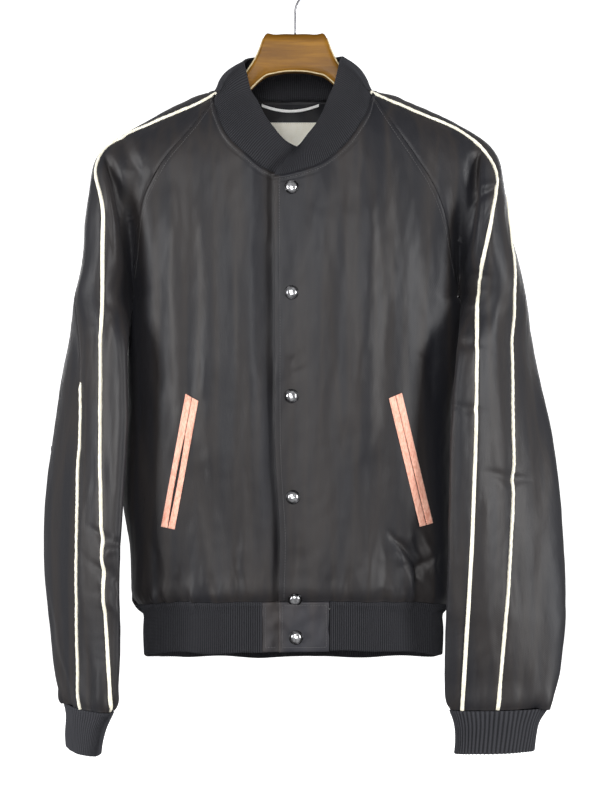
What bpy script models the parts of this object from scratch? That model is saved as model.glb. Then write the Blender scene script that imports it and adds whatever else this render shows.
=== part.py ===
"""Snap-front raglan jacket with knit trims, hanging from the hook of a contoured wooden hanger.

Frame: the origin is where the hook hangs, +Z is up, the front faces -Y and +X is the wearer's left.
Tables and sizes are in millimetres, and add_object turns them into metres.

One form carries the cloth.  At each level a torso oval and a sleeve oval on each side are joined by a
soft valley, and below the underarm the three ovals go on alone.  A panel is the patch of that form
between two seams, moved in by half a seam gap and given a wall.
"""
import bpy
import numpy as np

MM = 0.001

# ---- driving sizes ------------------------------------------------------------------------------
CLOTH = 1.5             # wall of the satin with its lining
RIB = 3.0               # wall of the folded knit
SEAM_GAP = 0.3
MITRE = 0.4             # how far a wall's inner edge is drawn back from the seam
LIFT = 0.45             # clearance under what lies on a panel
UNDERARM = -390.0       # level where sleeve and torso part
NECK_TOP = -151.0       # level of the neck seam behind the shoulders
NECK_PIPING = -152.0    # level of the neck seam at the front pipings
SLEEVE_END = -864.0
CUFF_END = -914.0
HEM_SEAM = -750.0       # hem seam at the side; the hem drops towards the back
HEM_SLOPE = 0.15
HEM_RIB = 57.0
SLEEVE_SEAM_TURN = 32.0 # how far the underarm seam turns to the sleeve's back
VALLEY_LEAST = 1.8      # least reach of the valley between torso and sleeve
UNDERLAP_DEPTH = 3.6    # how far the under front lies behind the over front
PIPING_LIFT = 0.9       # clearance under a piping, which crosses the facets of two panels
PIPING_WIDTH = 4.0
PIPING_START = 3.0      # how far a piping starts from the neck seam
PIPING_HEIGHT = 1.8
SNAP_RADIUS = 8.0
LEFT, RIGHT = 1, -1     # the wearer's sides, as signs of X
FRONT, BACK = -1, 1     # faces, as signs of Y
NECK_FRONT = {RIGHT: -166.0, LEFT: -160.0}      # levels where the front raglan seams meet the neck seam

UPPER_STEPS = (0.0, 0.04, 0.10, 0.17, 0.25, 0.33, 0.44, 0.57, 0.71, 0.86, 1.0)
LOWER_EASE = 1.25       # rows lie closer together just below the underarm
BODY_ROWS = 8
SLEEVE_ROWS = 10
CUFF_COLUMNS = 16


class Table:
    """Rows of named columns, read as natural cubic curves over the first column."""

    def __init__(self, names, rows):
        ordered = np.array(sorted(rows), float)
        self.key = ordered[:, 0]
        self.column = {name: ordered[:, i] for i, name in enumerate(names)}
        self.bend = {name: self.bends(values) for name, values in self.column.items()}

    def bends(self, values):
        """Second derivatives of the curve at the rows."""
        gap = np.diff(self.key)
        count = len(self.key)
        matrix = np.eye(count)
        right = np.zeros(count)
        for i in range(1, count - 1):
            matrix[i, i - 1:i + 2] = gap[i - 1] / 6, (gap[i - 1] + gap[i]) / 3, gap[i] / 6
            right[i] = (values[i + 1] - values[i]) / gap[i] - (values[i] - values[i - 1]) / gap[i - 1]
        return np.linalg.solve(matrix, right)

    def at(self, name, key):
        key = np.clip(key, self.key[0], self.key[-1])
        i = np.clip(np.searchsorted(self.key, key, side="right") - 1, 0, len(self.key) - 2)
        gap = self.key[i + 1] - self.key[i]
        low = (self.key[i + 1] - key) / gap
        high = (key - self.key[i]) / gap
        values, bend = self.column[name], self.bend[name]
        curve = (low ** 3 - low) * bend[i] + (high ** 3 - high) * bend[i + 1]
        return low * values[i] + high * values[i + 1] + curve * gap * gap / 6


# Reach of the torso's oval in front of and behind its middle, its squareness, and how softly it meets
# the sleeves.
TORSO = Table(("z", "front", "back", "power", "soft"), [
    (-140, 50, 50, 1.7, 0),
    (-152, 57, 56, 1.7, 0),
    (-168, 64, 62, 1.75, 4),
    (-195, 71, 68, 1.8, 8),
    (-223, 76, 72, 1.9, 12),
    (-250, 80, 76, 2.05, 14),
    (-300, 86, 81, 2.2, 12),
    (-345, 89, 84, 2.3, 8),
    (-390, 91, 85, 2.3, 0),
    (-450, 92, 86, 2.3, 0),
    (-520, 91, 87, 2.3, 0),
    (-600, 88, 87, 2.35, 0),
    (-680, 84, 86, 2.4, 0),
    (-730, 80, 84, 2.4, 0),
    (-765, 74, 78, 2.4, 0),
    (-830, 70, 74, 2.4, 0),
])

# Distances outward from X = 0: the outer edge, the torso's side and the sleeve's inner edge.  Then the
# sleeve oval's half depth, the Y of its middle, and how far its outer edge lies behind its middle.  The
# hanger's ends carry the shoulders forward by the bow of the last table.
SIDE_COLUMNS = ("z", "tip", "torso", "inner", "deep", "middle", "lean")
SIDE = {
    RIGHT: Table(SIDE_COLUMNS, [
        (-146, 70, 70, 22, 14, 0, 0),
        (-151, 94, 94, 42, 17, 0, 0),
        (-155, 112, 112, 58, 19, 0, 0),
        (-160, 123.5, 123.5, 68, 20, 0, 0),
        (-168, 140.5, 140.5, 86, 21, 0, 0),
        (-181, 164.5, 164.5, 110, 23, 0, 0),
        (-195, 188.5, 188.5, 136, 26, 0, 0),
        (-209, 210.5, 210.5, 156, 29, 0, 0),
        (-223, 226, 225, 166, 34, 0, 0),
        (-237, 233.6, 229, 171, 41, 0, 0),
        (-251, 236.3, 224, 174, 48, 0, 0),
        (-276, 239.4, 214, 178, 57, 0, 0),
        (-311, 244, 203, 183, 66, 2, 2),
        (-346, 246.5, 195, 186.5, 71, 4, 4),
        (-390, 258, 187.8, 189.2, 70, 6, 7),
        (-434, 268.5, 186.5, 188.5, 54, -2, 46),
        (-480, 278.4, 187, 188.5, 41, -10, 57),
        (-540, 287.2, 190, 188.8, 35, -15, 58),
        (-600, 295.1, 194, 192.3, 32, -19, 56),
        (-660, 298.5, 196, 195.9, 31, -23, 56),
        (-697, 298.5, 194.5, 197.5, 31, -24, 56),
        (-732, 296.4, 192, 197.5, 31, -25, 53),
        (-750, 294.4, 187, 197.3, 31, -25, 52),
        (-767, 292.5, 183, 197, 31, -25, 50),
        (-800, 288.3, 181, 197, 30, -26, 48),
        (-837, 282, 181, 199.5, 30, -26, 46),
        (-864, 272, 181, 205, 31, -26, 41),
        (-878, 268.5, 181, 213, 33, -26, 35),
        (-892, 267.5, 181, 217, 34, -26, 32),
        (-914, 267, 181, 221, 35, -26, 30),
    ]),
    LEFT: Table(SIDE_COLUMNS, [
        (-146, 66, 66, 18, 14, 0, 0),
        (-151, 90, 90, 38, 17, 0, 0),
        (-155, 113, 113, 58, 19, 0, 0),
        (-160, 126, 126, 70, 20, 0, 0),
        (-168, 144.5, 144.5, 90, 21, 0, 0),
        (-181, 172.5, 172.5, 116, 23, 0, 0),
        (-195, 198.3, 198.3, 144, 26, 0, 0),
        (-209, 219.3, 219.3, 162, 29, 0, 0),
        (-223, 231.5, 230, 171, 34, 0, 0),
        (-237, 236.8, 231, 174, 41, 0, 0),
        (-251, 239.2, 225, 176, 48, 0, 0),
        (-276, 243.5, 214, 180, 57, 0, 0),
        (-311, 249, 203, 184, 66, 1, 2),
        (-346, 259.5, 196, 188, 70, 3, 5),
        (-390, 271, 189.5, 191, 66, 5, 7),
        (-434, 281, 185.5, 186.8, 46, -8, 46),
        (-480, 289.1, 184, 182, 34, -22, 53),
        (-540, 301.6, 184.5, 177.4, 27, -32, 49),
        (-600, 307.9, 186, 175.7, 25, -37, 43),
        (-660, 311.1, 187, 174.5, 24, -40, 39),
        (-697, 312.5, 186, 173.6, 23, -41, 36),
        (-732, 312, 184, 172.3, 22, -42, 30),
        (-750, 311.4, 182, 171.8, 22, -42, 27),
        (-767, 310.5, 179, 171.4, 21, -42, 23),
        (-800, 306.3, 177, 170.8, 20, -42, 18),
        (-837, 301, 177, 171.3, 19, -41, 12),
        (-864, 292, 177, 176, 19, -40, 9),
        (-878, 284, 177, 181.5, 18, -40, 10),
        (-892, 280.5, 177, 183, 17, -40, 10),
        (-914, 276, 177, 182.5, 17, -40, 10),
    ]),
}

BOW = Table(("z", "bow"), [
    (-140, 0),
    (-152, 0),
    (-180, 6),
    (-215, 12),
    (-250, 12),
    (-320, 5),
    (-390, 0),
    (-900, 0),
])

# Seams, outward from X = 0 as seen from the front or the back, and the strip's width between pipings.
SEAM_COLUMNS = ("z", "raglan_front", "raglan_back", "piping", "strip")
SEAM = {
    RIGHT: Table(SEAM_COLUMNS, [
        (-151, 84, 56, 87, 50),
        (-166, 93.5, 74, 111.5, 50),
        (-181, 106, 91, 144, 50),
        (-196, 117, 106, 179.5, 50),
        (-209, 127.5, 118, 204, 50),
        (-217, 133.5, 125, 215.5, 50),
        (-230, 144, 134, 225, 50),
        (-250, 157, 148, 228.8, 50),
        (-279, 172, 163, 224.5, 50),
        (-314, 182, 177, 222.6, 50),
        (-352, 187, 185, 222.4, 50),
        (-390, 188.5, 188.5, 222, 50),
        (-470, 188.5, 188.5, 222.5, 49),
        (-550, 188.5, 188.5, 222.5, 48),
        (-640, 188.5, 188.5, 220.5, 47),
        (-740, 188.5, 188.5, 217.3, 46),
        (-864, 188.5, 188.5, 212, 44),
    ]),
    LEFT: Table(SEAM_COLUMNS, [
        (-151, 82.5, 54, 83, 50),
        (-160, 88.5, 65, 101, 50),
        (-170, 95.5, 77, 123, 50),
        (-182, 103, 90, 151.5, 50),
        (-196, 112.5, 104, 183.5, 50),
        (-210, 122, 117, 205.5, 50),
        (-224, 132, 130, 219, 50),
        (-238, 141, 141, 228, 50),
        (-255, 152.5, 151, 232.5, 50),
        (-279, 164.5, 164, 229.8, 50),
        (-314, 175.5, 178, 222.5, 50),
        (-352, 183, 187, 213.5, 50),
        (-390, 190, 190, 209, 50),
        (-470, 190, 190, 206, 49),
        (-550, 190, 190, 205, 48),
        (-640, 190, 190, 201.5, 47),
        (-740, 190, 190, 196.5, 46),
        (-864, 190, 190, 189, 44),
    ]),
}

# Outward distance of the front neck seam at a level, for each side.
NECK_COLUMNS = ("z", "wearer_right", "wearer_left")
NECK = Table(NECK_COLUMNS, [
    (-262, -40, -60),
    (-255, 10, -16),
    (-247, 36, 17),
    (-235, 51, 39.7),
    (-220, 68, 56.8),
    (-200, 82.5, 71.9),
    (-178, 91, 83.8),
    (-166, 93.5, 87),
    (-160, 94, 88.5),
    (-151, 94, 90),
])

# X of the over front's free edge and of the under front's.
PLACKET = Table(("z", "over", "under"), [
    (-250, -23.7, 18),
    (-350, -23, 18),
    (-455, -22.3, 18),
    (-600, -20.3, 18),
    (-673, -16.5, 18),
    (-718, -17.8, 18),
    (-800, -18, 18),
])

# The collar's free edge, over the share of the neck seam from the over front's edge round the back.
COLLAR = Table(("share", "x", "y", "z"), [
    (0.0, 1, -73, -222.5),
    (0.035, 7, -71, -216),
    (0.065, 12, -69, -209),
    (0.105, 22, -62, -197),
    (0.14, 31, -52, -181),
    (0.18, 38, -38, -163),
    (0.22, 45, -25, -142),
    (0.26, 51, -15.5, -121),
    (0.31, 56, -2, -111),
    (0.35, 54, 14, -107),
    (0.385, 45, 28, -104.5),
    (0.435, 27, 38, -102.5),
    (0.495, 0, 42, -101.5),
    (0.555, -29, 38, -102.5),
    (0.61, -49, 28, -105),
    (0.65, -59, 14, -109),
    (0.69, -62, -2, -115),
    (0.745, -57, -15.5, -127),
    (0.77, -52, -24, -146),
    (0.81, -43.5, -35, -165),
    (0.85, -34, -49, -185),
    (0.885, -22, -60, -200),
    (0.915, -10, -66, -213),
    (0.955, 4, -69, -221),
    (1.0, 14, -70, -227),
])
COLLAR_STATIONS = 50
COLLAR_BULGE = 5.0      # how far the collar swells out between its edges

# Pocket openings: X and Z of the ends of each slit's middle line.
WELT_COLUMNS = ("side", "x_top", "z_top", "x_bottom", "z_bottom")
WELTS = [dict(zip(WELT_COLUMNS, row)) for row in [
    (RIGHT, -116.5, -507, -144.5, -655.5),
    (LEFT, 113.5, -505, 150, -652.5),
]]
WELT_WIDTH = 7.6
WELT_SLIT = 1.0
WELT_HEIGHT = 1.6

# The snaps' places on the front.
SNAPS = ((-3.9, -269.7), (-3.9, -389), (-3.9, -505.5), (-2.2, -619.4), (0.0, -735.5), (1.2, -778.5))

# Hem tabs: the X that each reaches from its free edge, and the label and loop inside the back neck.
TAB_TOP = -738.0
TAB_LEFT_END = 39.5
TAB_RIGHT_END = -37.0
RIB_GAP_LEFT = 40.0
RIB_GAP_RIGHT = -37.5
LABEL = {"x_low": -36.0, "x_high": 30.0, "top": -177.0, "bottom": -209.0}
LOOP = {"x_low": -41.0, "x_high": 29.0, "top": -156.0, "sag": 7.0, "width": 3.6, "thick": 1.2}
FACING_HALF = 50.0
FACING_GAP = 1.1        # between the back and its facing
FACING_WALL = 1.0
FACING_START = 3.0
FACING_DEPTH = 78.0

# The hanger, outward from its middle: top, bottom, half its thickness and its squareness.
HANGER = Table(("x", "top", "bottom", "half", "power"), [
    (0, -84, -128, 11, 5),
    (20, -84, -129.5, 11, 5),
    (33, -84.6, -133, 11, 5),
    (38, -92, -136, 11, 5),
    (44, -107, -141, 11, 4.5),
    (52, -121, -149, 11, 4),
    (64, -137, -159, 12, 3.4),
    (80, -151, -171, 13.5, 3),
    (95, -157, -180, 15.5, 2.6),
    (130, -168.2, -193, 19, 2.3),
    (170, -188.4, -213, 21, 2.2),
    (206, -211, -232, 21, 2.2),
    (214, -219, -233, 17, 2.2),
])
WIRE_RADIUS = 1.2
HOOK_RADIUS = 19.0      # inside the hook's bow


# Large folds, each a soft trough from one place to another: the face it lies on, its ends as X and Z,
# its half width, and its depth, which is negative for a ridge.
FOLD_COLUMNS = ("face", "x_start", "z_start", "x_end", "z_end", "width", "depth")
FOLDS = [dict(zip(FOLD_COLUMNS, row)) for row in [
    (FRONT, 121, -229, 149, -397, 20, 4.0),
    (FRONT, 26, -292, 6, -364, 16, 2.5),
    (FRONT, -146, -285, -154, -482, 18, 3.5),
    (FRONT, -82, -330, -92, -470, 26, -2.5),
    (FRONT, -36, -340, -34, -467, 14, 2.5),
    (FRONT, 62, -310, 66, -523, 24, -3.0),
    (FRONT, 92, -590, 112, -690, 18, 3.0),
    (FRONT, -92, -600, -70, -700, 20, 2.5),
    (BACK, -92, -250, -66, -560, 26, 4.0),
    (BACK, 88, -240, 60, -520, 24, 4.5),
    (BACK, 4, -420, -8, -690, 30, -3.5),
    (BACK, -120, -600, -96, -700, 20, 3.0),
    (BACK, 110, -590, 126, -705, 20, 3.0),
]]


# ---- the form -----------------------------------------------------------------------------------
def fold_depth(face, x, z):
    """How far the large folds press the cloth in at places on one face."""
    depth = np.zeros(np.broadcast(x, z).shape)
    for fold in FOLDS:
        if fold["face"] != face:
            continue
        run_x = fold["x_end"] - fold["x_start"]
        run_z = fold["z_end"] - fold["z_start"]
        length = np.hypot(run_x, run_z)
        along = ((x - fold["x_start"]) * run_x + (z - fold["z_start"]) * run_z) / length
        across = ((x - fold["x_start"]) * run_z - (z - fold["z_start"]) * run_x) / length
        past = np.maximum(np.maximum(-along, along - length), 0)
        depth = depth + fold["depth"] * np.exp(-(across ** 2 + past ** 2) / fold["width"] ** 2)
    return depth


def torso_reach(side, face, out, z):
    """How far the torso's oval reaches from Y = 0 towards a face, negative past its side."""
    rest = 1 - (np.abs(out) / SIDE[side].at("torso", z)) ** TORSO.at("power", z)
    reach = TORSO.at("front" if face == FRONT else "back", z)
    return reach * np.sign(rest) * np.abs(rest) ** (1 / TORSO.at("power", z))


def sleeve_reach(side, face, out, z):
    """How far the sleeve's oval reaches from Y = 0 towards a face, negative past its edges."""
    row = SIDE[side]
    half = (row.at("tip", z) - row.at("inner", z)) / 2
    across = (out - row.at("inner", z)) / half - 1
    rest = 1 - across ** 2
    swing = row.at("middle", z) + row.at("lean", z) * across
    return row.at("deep", z) * np.sign(rest) * np.sqrt(np.abs(rest)) + face * swing


def joined_reach(side, face, out, z):
    """The torso and the sleeve as one outline, with a soft valley between them."""
    torso = torso_reach(side, face, out, z)
    sleeve = sleeve_reach(side, face, out, z)
    soft = TORSO.at("soft", z) * np.clip((SIDE[side].at("tip", z) - out) / 40, 0, 1)
    joined = (torso + sleeve + np.sqrt((torso - sleeve) ** 2 + soft ** 2)) / 2
    edge = np.minimum((SIDE[side].at("tip", z) - out) / 4, 1)
    return np.maximum(joined, VALLEY_LEAST * edge)


class Outline:
    """One level's outline on one side, as points from its first front point round to its last back one."""

    CENTRE_START = -46.0
    SAMPLES = 260
    TURN_WEIGHT = 28.0      # millimetres of way that a turn of one radian counts for

    def __init__(self, side, z, piece):
        self.front_out = self.spread(side, z, piece)
        reach = {"joined": joined_reach, "torso": torso_reach, "sleeve": sleeve_reach}[piece]
        front_y = FRONT * reach(side, FRONT, self.front_out, z)
        back_y = BACK * reach(side, BACK, self.front_out, z)
        turn_weight = 0.0 if piece == "torso" else self.TURN_WEIGHT
        if piece != "sleeve":
            front_y = front_y + fold_depth(FRONT, side * self.front_out, z)
            back_y = back_y - fold_depth(BACK, side * self.front_out, z)
        self.out = np.concatenate([self.front_out, self.front_out[::-1]])
        bow = BOW.at("bow", z) * (self.out / self.out.max()) ** 2
        self.y = np.concatenate([front_y, back_y[::-1]]) - bow
        run, rise = np.diff(self.out), np.diff(self.y)
        steps = np.hypot(run, rise)
        heading = np.unwrap(np.arctan2(rise, run))
        turns = np.maximum(np.diff(heading, prepend=heading[0]), 0)
        turns[self.out[1:] < SIDE[side].at("inner", z)] = 0
        self.way = np.concatenate([[0], np.cumsum(steps)])
        self.pace = np.concatenate([[0], np.cumsum(steps + turn_weight * turns)])
        self.length = self.way[-1]

    def spread(self, side, z, piece):
        """Outward distances that lie close together where the outline turns."""
        row = SIDE[side]
        ease = np.linspace(0, 1, self.SAMPLES)
        if piece == "sleeve":
            inner, tip = row.at("inner", z), row.at("tip", z)
            return inner + (tip - inner) * (1 - np.cos(np.pi * ease)) / 2
        edge = row.at("tip" if piece == "joined" else "torso", z)
        places = edge - (edge - self.CENTRE_START) * (1 - ease) ** 2
        if piece == "joined":
            valley = (row.at("torso", z) + row.at("inner", z)) / 2
            near = valley + 26 * np.linspace(-1, 1, 80) ** 3
            places = np.union1d(places, near[near < edge - 1])
        return places

    def way_at(self, face, out):
        """Distance along the outline to a place given by its outward distance and face."""
        count = len(self.front_out)
        if face == FRONT:
            return np.interp(out, self.front_out, self.way[:count])
        return np.interp(out, self.front_out, self.way[count:][::-1])

    def paced(self, way):
        """Pace at a way, also past the ends of a closed outline."""
        rounds = np.floor(way / self.length)
        return rounds * self.pace[-1] + np.interp(way - rounds * self.length, self.way, self.pace)

    def place(self, first, last, shares, closed):
        """Points at shares of the pace from one way to another, which put more points in tight turns."""
        if not closed:
            start, end = np.interp([first, last], self.way, self.pace)
            pace = start + (end - start) * shares
        else:
            start, end = self.paced(first), self.paced(last)
            pace = np.mod(start + (end - start) * shares, self.pace[-1])
        return np.interp(pace, self.pace, self.out), np.interp(pace, self.pace, self.y)


# ---- panels -------------------------------------------------------------------------------------
def sleeve_seam(z):
    """Way of the underarm seam on a separate sleeve, which turns from its inner edge to the back."""
    share = np.clip((UNDERARM - z) / 200.0, 0, 1)
    return -SLEEVE_SEAM_TURN * share * share * (3 - 2 * share)


def panel_ends(side, panel, z):
    """The outline that a panel lies on at one level, with its first and last way along it."""
    joined = z > UNDERARM
    seam = SEAM[side]
    if panel in ("front", "back"):
        outline = Outline(side, z, "joined" if joined else "torso")
        face = FRONT if panel == "front" else BACK
        edge = outline.length / 2 if not joined else outline.way_at(face, seam.at("raglan_" + panel, z))
        if panel == "front":
            free = PLACKET.at("over", z) if side == LEFT else -PLACKET.at("under", z)
            return outline, outline.way_at(FRONT, free), edge
        return outline, edge, outline.way_at(BACK, 0.0)
    outline = Outline(side, z, "joined" if joined else "sleeve")
    piping = outline.way_at(FRONT, seam.at("piping", z))
    strip = seam.at("strip", z)
    if joined:
        first = outline.way_at(FRONT, seam.at("raglan_front", z))
        last = outline.way_at(BACK, seam.at("raglan_back", z))
    else:
        first = sleeve_seam(z)
        last = first + outline.length
    ends = {
        "sleeve_front": (first, piping),
        "sleeve_top": (piping, piping + strip),
        "sleeve_back": (piping + strip, last),
        "cuff": (0.0, outline.length),
    }
    return outline, *ends[panel]


class Strip:
    """A panel's columns from top to bottom: each keeps its share of the way between the two seams."""

    LEVELS = 90
    TURN = 0.01

    def __init__(self, side, panel, shares, bottom):
        self.side = side
        above = np.linspace(NECK_TOP + 6, UNDERARM + 0.01, self.LEVELS)
        below = np.linspace(UNDERARM, bottom - 12, self.LEVELS)
        self.levels = np.concatenate([above, below])
        shares = np.asarray(shares, float)
        every = np.concatenate([shares, shares - self.TURN, shares + self.TURN])
        closed = panel not in ("front", "back")
        rows = []
        for z in self.levels:
            outline, first, last = panel_ends(side, panel, z)
            trim = 0.0 if panel == "cuff" else SEAM_GAP / 2
            rows.append(outline.place(first + trim, last - trim, every, closed and z <= UNDERARM))
        out = np.array([row[0] for row in rows])
        y = np.array([row[1] for row in rows])
        count = len(shares)
        self.x = side * out[:, :count]
        self.y = y[:, :count]
        self.run_x = side * (out[:, 2 * count:] - out[:, count:2 * count])
        self.run_y = y[:, 2 * count:] - y[:, count:2 * count]

    def read(self, values, column, z):
        return np.interp(z, self.levels[::-1], values[::-1, column])

    def points(self, heights):
        """Points and outward normals of a grid of heights, one column for each of the panel's own."""
        grid = np.zeros(heights.shape + (3,))
        normal = np.zeros(heights.shape + (3,))
        for j in range(heights.shape[1]):
            z = heights[:, j]
            grid[:, j] = np.stack([self.read(self.x, j, z), self.read(self.y, j, z), z], axis=1)
            above = np.where(z > UNDERARM, z + 3, np.minimum(z + 3, UNDERARM))
            below = np.where(z > UNDERARM, np.maximum(z - 3, UNDERARM + 1), z - 3)
            rise = np.stack([self.read(self.x, j, above) - self.read(self.x, j, below),
                             self.read(self.y, j, above) - self.read(self.y, j, below),
                             above - below], axis=1)
            run = np.stack([self.read(self.run_x, j, z), self.read(self.run_y, j, z), 0 * z], axis=1)
            normal[:, j] = np.cross(run, rise) * self.side
        return grid, normal / np.linalg.norm(normal, axis=2, keepdims=True)


def neck_start(strip, column, side):
    """Level where a column of a front panel meets the neck seam."""
    name = "wearer_left" if side == LEFT else "wearer_right"
    levels = np.arange(NECK_FRONT[side], -262, -0.25)
    ahead = side * strip.read(strip.x, column, levels) - NECK.at(name, levels)
    crossed = np.nonzero(ahead >= 0)[0]
    return levels[crossed[0]] if len(crossed) else levels[-1]


def hem_level(y):
    """Level of the hem seam, which drops towards the back."""
    return HEM_SEAM - HEM_SLOPE * y


def panel_grid(side, panel, shares):
    """Grid and normals of one side of a panel, from the neck seam to the hem or cuff."""
    torso = panel in ("front", "back")
    strip = Strip(side, panel, shares, HEM_SEAM - 20 if torso else SLEEVE_END)
    count = len(shares)
    if panel == "front":
        top = np.array([neck_start(strip, j, side) for j in range(count)])
    elif panel == "sleeve_front":
        top = NECK_FRONT[side] + (NECK_PIPING - NECK_FRONT[side]) * np.asarray(shares)
    elif panel == "sleeve_top":
        top = NECK_PIPING + (NECK_TOP - NECK_PIPING) * np.asarray(shares)
    else:
        top = np.full(count, NECK_TOP)
    if torso:
        bottom = np.array([hem_level(strip.read(strip.y, j, HEM_SEAM)) for j in range(count)])
    else:
        bottom = np.full(count, SLEEVE_END)
    rows = BODY_ROWS if torso else SLEEVE_ROWS
    upper = [top + (UNDERARM - top) * step for step in UPPER_STEPS]
    lower = [UNDERARM + (bottom - UNDERARM) * step ** LOWER_EASE for step in even(rows + 1)[1:]]
    return strip.points(np.array(upper + lower))


# ---- solids -------------------------------------------------------------------------------------
def material(name, colour, roughness, metallic=0.0):
    made = bpy.data.materials.new(name)
    made.use_nodes = True
    shader = made.node_tree.nodes["Principled BSDF"]
    shader.inputs["Base Color"].default_value = (*colour, 1.0)
    shader.inputs["Roughness"].default_value = roughness
    shader.inputs["Metallic"].default_value = metallic
    made.diffuse_color = (*colour, 1.0)
    return made


def add_object(name, points, faces, finish, sharp=35.0):
    """A closed solid from points in millimetres."""
    mesh = bpy.data.meshes.new(name)
    mesh.from_pydata([tuple(float(c) * MM for c in point) for point in points], [], faces)
    mesh.update()
    mesh.shade_smooth()
    mesh.set_sharp_from_angle(angle=np.radians(sharp))
    mesh.materials.append(finish)
    made = bpy.data.objects.new(name, mesh)
    bpy.context.scene.collection.objects.link(made)
    return made


def shell_faces(rows, columns, ring):
    """Faces of a wall: an outer grid, an inner grid, and the rims between them."""
    inner = rows * columns
    last = columns if ring else columns - 1
    faces = []
    for i in range(rows - 1):
        for j in range(last):
            a, b = i * columns + j, i * columns + (j + 1) % columns
            c, d = b + columns, a + columns
            faces += [(a, d, c), (a, c, b)]
            faces += [(a + inner, c + inner, d + inner), (a + inner, b + inner, c + inner)]
    for j in range(last):
        a, b = j, (j + 1) % columns
        faces.append((a, b, b + inner, a + inner))
        a, b = a + (rows - 1) * columns, b + (rows - 1) * columns
        faces.append((b, a, a + inner, b + inner))
    if not ring:
        for i in range(rows - 1):
            a, b = i * columns, (i + 1) * columns
            faces.append((b, a, a + inner, b + inner))
            a, b = a + columns - 1, b + columns - 1
            faces.append((a, b, b + inner, a + inner))
    return faces


def volume(points, faces):
    """Signed volume of a closed mesh."""
    total = 0.0
    for face in faces:
        for k in range(1, len(face) - 1):
            total += np.dot(points[face[0]], np.cross(points[face[k]], points[face[k + 1]]))
    return total / 6


def outward(points, faces):
    """The faces, turned over if they would face into the solid."""
    if volume(points, faces) < 0:
        return [tuple(reversed(face)) for face in faces]
    return faces


def add_wall(name, grid, normal, wall, finish, ring=False, lift=0.0):
    """A wall whose outer side is a grid, moved out by a lift."""
    rows, columns = grid.shape[:2]
    outer = grid + normal * lift
    inner = grid + normal * (lift - wall)
    if not ring:
        for edge, beside in ((0, 1), (-1, -2)):
            way = inner[:, beside] - inner[:, edge]
            inner[:, edge] += way / np.linalg.norm(way, axis=1, keepdims=True) * MITRE
    points = np.concatenate([outer.reshape(-1, 3), inner.reshape(-1, 3)])
    return add_object(name, points, outward(points, shell_faces(rows, columns, ring)), finish)


def add_loft(name, sections, finish, sharp=35.0):
    """A solid through closed sections of equal point count, with a face at each end."""
    count = len(sections[0])
    points = np.concatenate(sections)
    faces = []
    for i in range(len(sections) - 1):
        for j in range(count):
            a, b = i * count + j, i * count + (j + 1) % count
            faces.append((a, b, b + count, a + count))
    faces.append(tuple(range(count))[::-1])
    faces.append(tuple(range(len(points) - count, len(points))))
    return add_object(name, points, outward(points, faces), finish, sharp)


def even(count):
    return np.linspace(0, 1, count)


def closer(count):
    """Shares that lie closer together towards the last one."""
    share = even(count)
    return share * (1.4 - 0.4 * share)


# ---- cloth panels -------------------------------------------------------------------------------
def build_fronts(panels, satin):
    """The two fronts; the wearer's left one laps over the other."""
    for side, name, columns in ((LEFT, "front_left", 13), (RIGHT, "front_right", 12)):
        grid, normal = panel_grid(side, "front", closer(columns))
        if side == RIGHT:
            past = np.clip((grid[..., 0] + 48) / 18, 0, 1)
            grid[..., 1] += UNDERLAP_DEPTH * past
        panels[side, "front"] = grid, normal
        add_wall(name, grid, normal, CLOTH, satin)


def build_back(panels, satin):
    """The back, from one raglan and side seam to the other."""
    count = 9
    right, right_normal = panel_grid(RIGHT, "back", 1 - closer(count)[::-1])
    left, left_normal = panel_grid(LEFT, "back", 1 - closer(count)[::-1])
    grid = np.concatenate([right, left[:, -2::-1]], axis=1)
    normal = np.concatenate([right_normal, left_normal[:, -2::-1]], axis=1)
    grid[:, count - 1, 0] = 0
    panels["back"] = grid, normal
    add_wall("back", grid, normal, CLOTH, satin)


def build_sleeves(panels, satin, cream):
    columns = {"sleeve_front": 8, "sleeve_top": 4, "sleeve_back": 10}
    for side, label in ((LEFT, "left"), (RIGHT, "right")):
        for panel, count in columns.items():
            grid, normal = panel_grid(side, panel, even(count))
            panels[side, panel] = grid, normal
            place = panel.split("_")[1]
            add_wall(f"sleeve_{label}_{place}", grid, normal, CLOTH, satin)
            if place == "top":
                build_piping(f"piping_{label}_front", grid[:, 0], normal[:, 0], grid[:, 1], cream)
                build_piping(f"piping_{label}_back", grid[:, -1], normal[:, -1], grid[:, -2], cream)


def build_piping(name, line, normal, beside, cream):
    """A raised band over a seam; beside is the next column of the strip, which gives its direction."""
    along = np.gradient(line, axis=0)
    across = np.cross(along, normal)
    across = across / np.linalg.norm(across, axis=1, keepdims=True)
    half = PIPING_WIDTH / 2
    low, high = PIPING_LIFT, PIPING_LIFT + PIPING_HEIGHT
    section = ((-half, low), (half, low), (half * 0.6, high), (-half * 0.6, high))
    seam = line + (line - beside) / np.linalg.norm(line - beside, axis=1, keepdims=True) * SEAM_GAP / 2
    run = seam[1] - seam[0]
    seam[0] += run / np.linalg.norm(run) * PIPING_START
    sections = []
    for middle, side_way, up in zip(seam, across, normal):
        sections.append(np.array([middle + side_way * a + up * b for a, b in section]))
    add_loft(name, sections, cream)


def front_place(x, z):
    """A point on the front of the form and its outward normal, as seen at X and Z from the front."""
    def surface(x, z):
        side = LEFT if x > 0 else RIGHT
        out = abs(x)
        bow = BOW.at("bow", z) * (out / SIDE[side].at("tip", z)) ** 2 if z > UNDERARM else 0.0
        reach = joined_reach if z > UNDERARM else torso_reach
        return np.array([x, fold_depth(FRONT, x, z) - reach(side, FRONT, out, z) - bow, z], float)

    step = 2.0
    across = surface(x + step, z) - surface(x - step, z)
    down = surface(x, z - step) - surface(x, z + step)
    normal = np.cross(down, across)
    return surface(x, z), normal / np.linalg.norm(normal)


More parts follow.
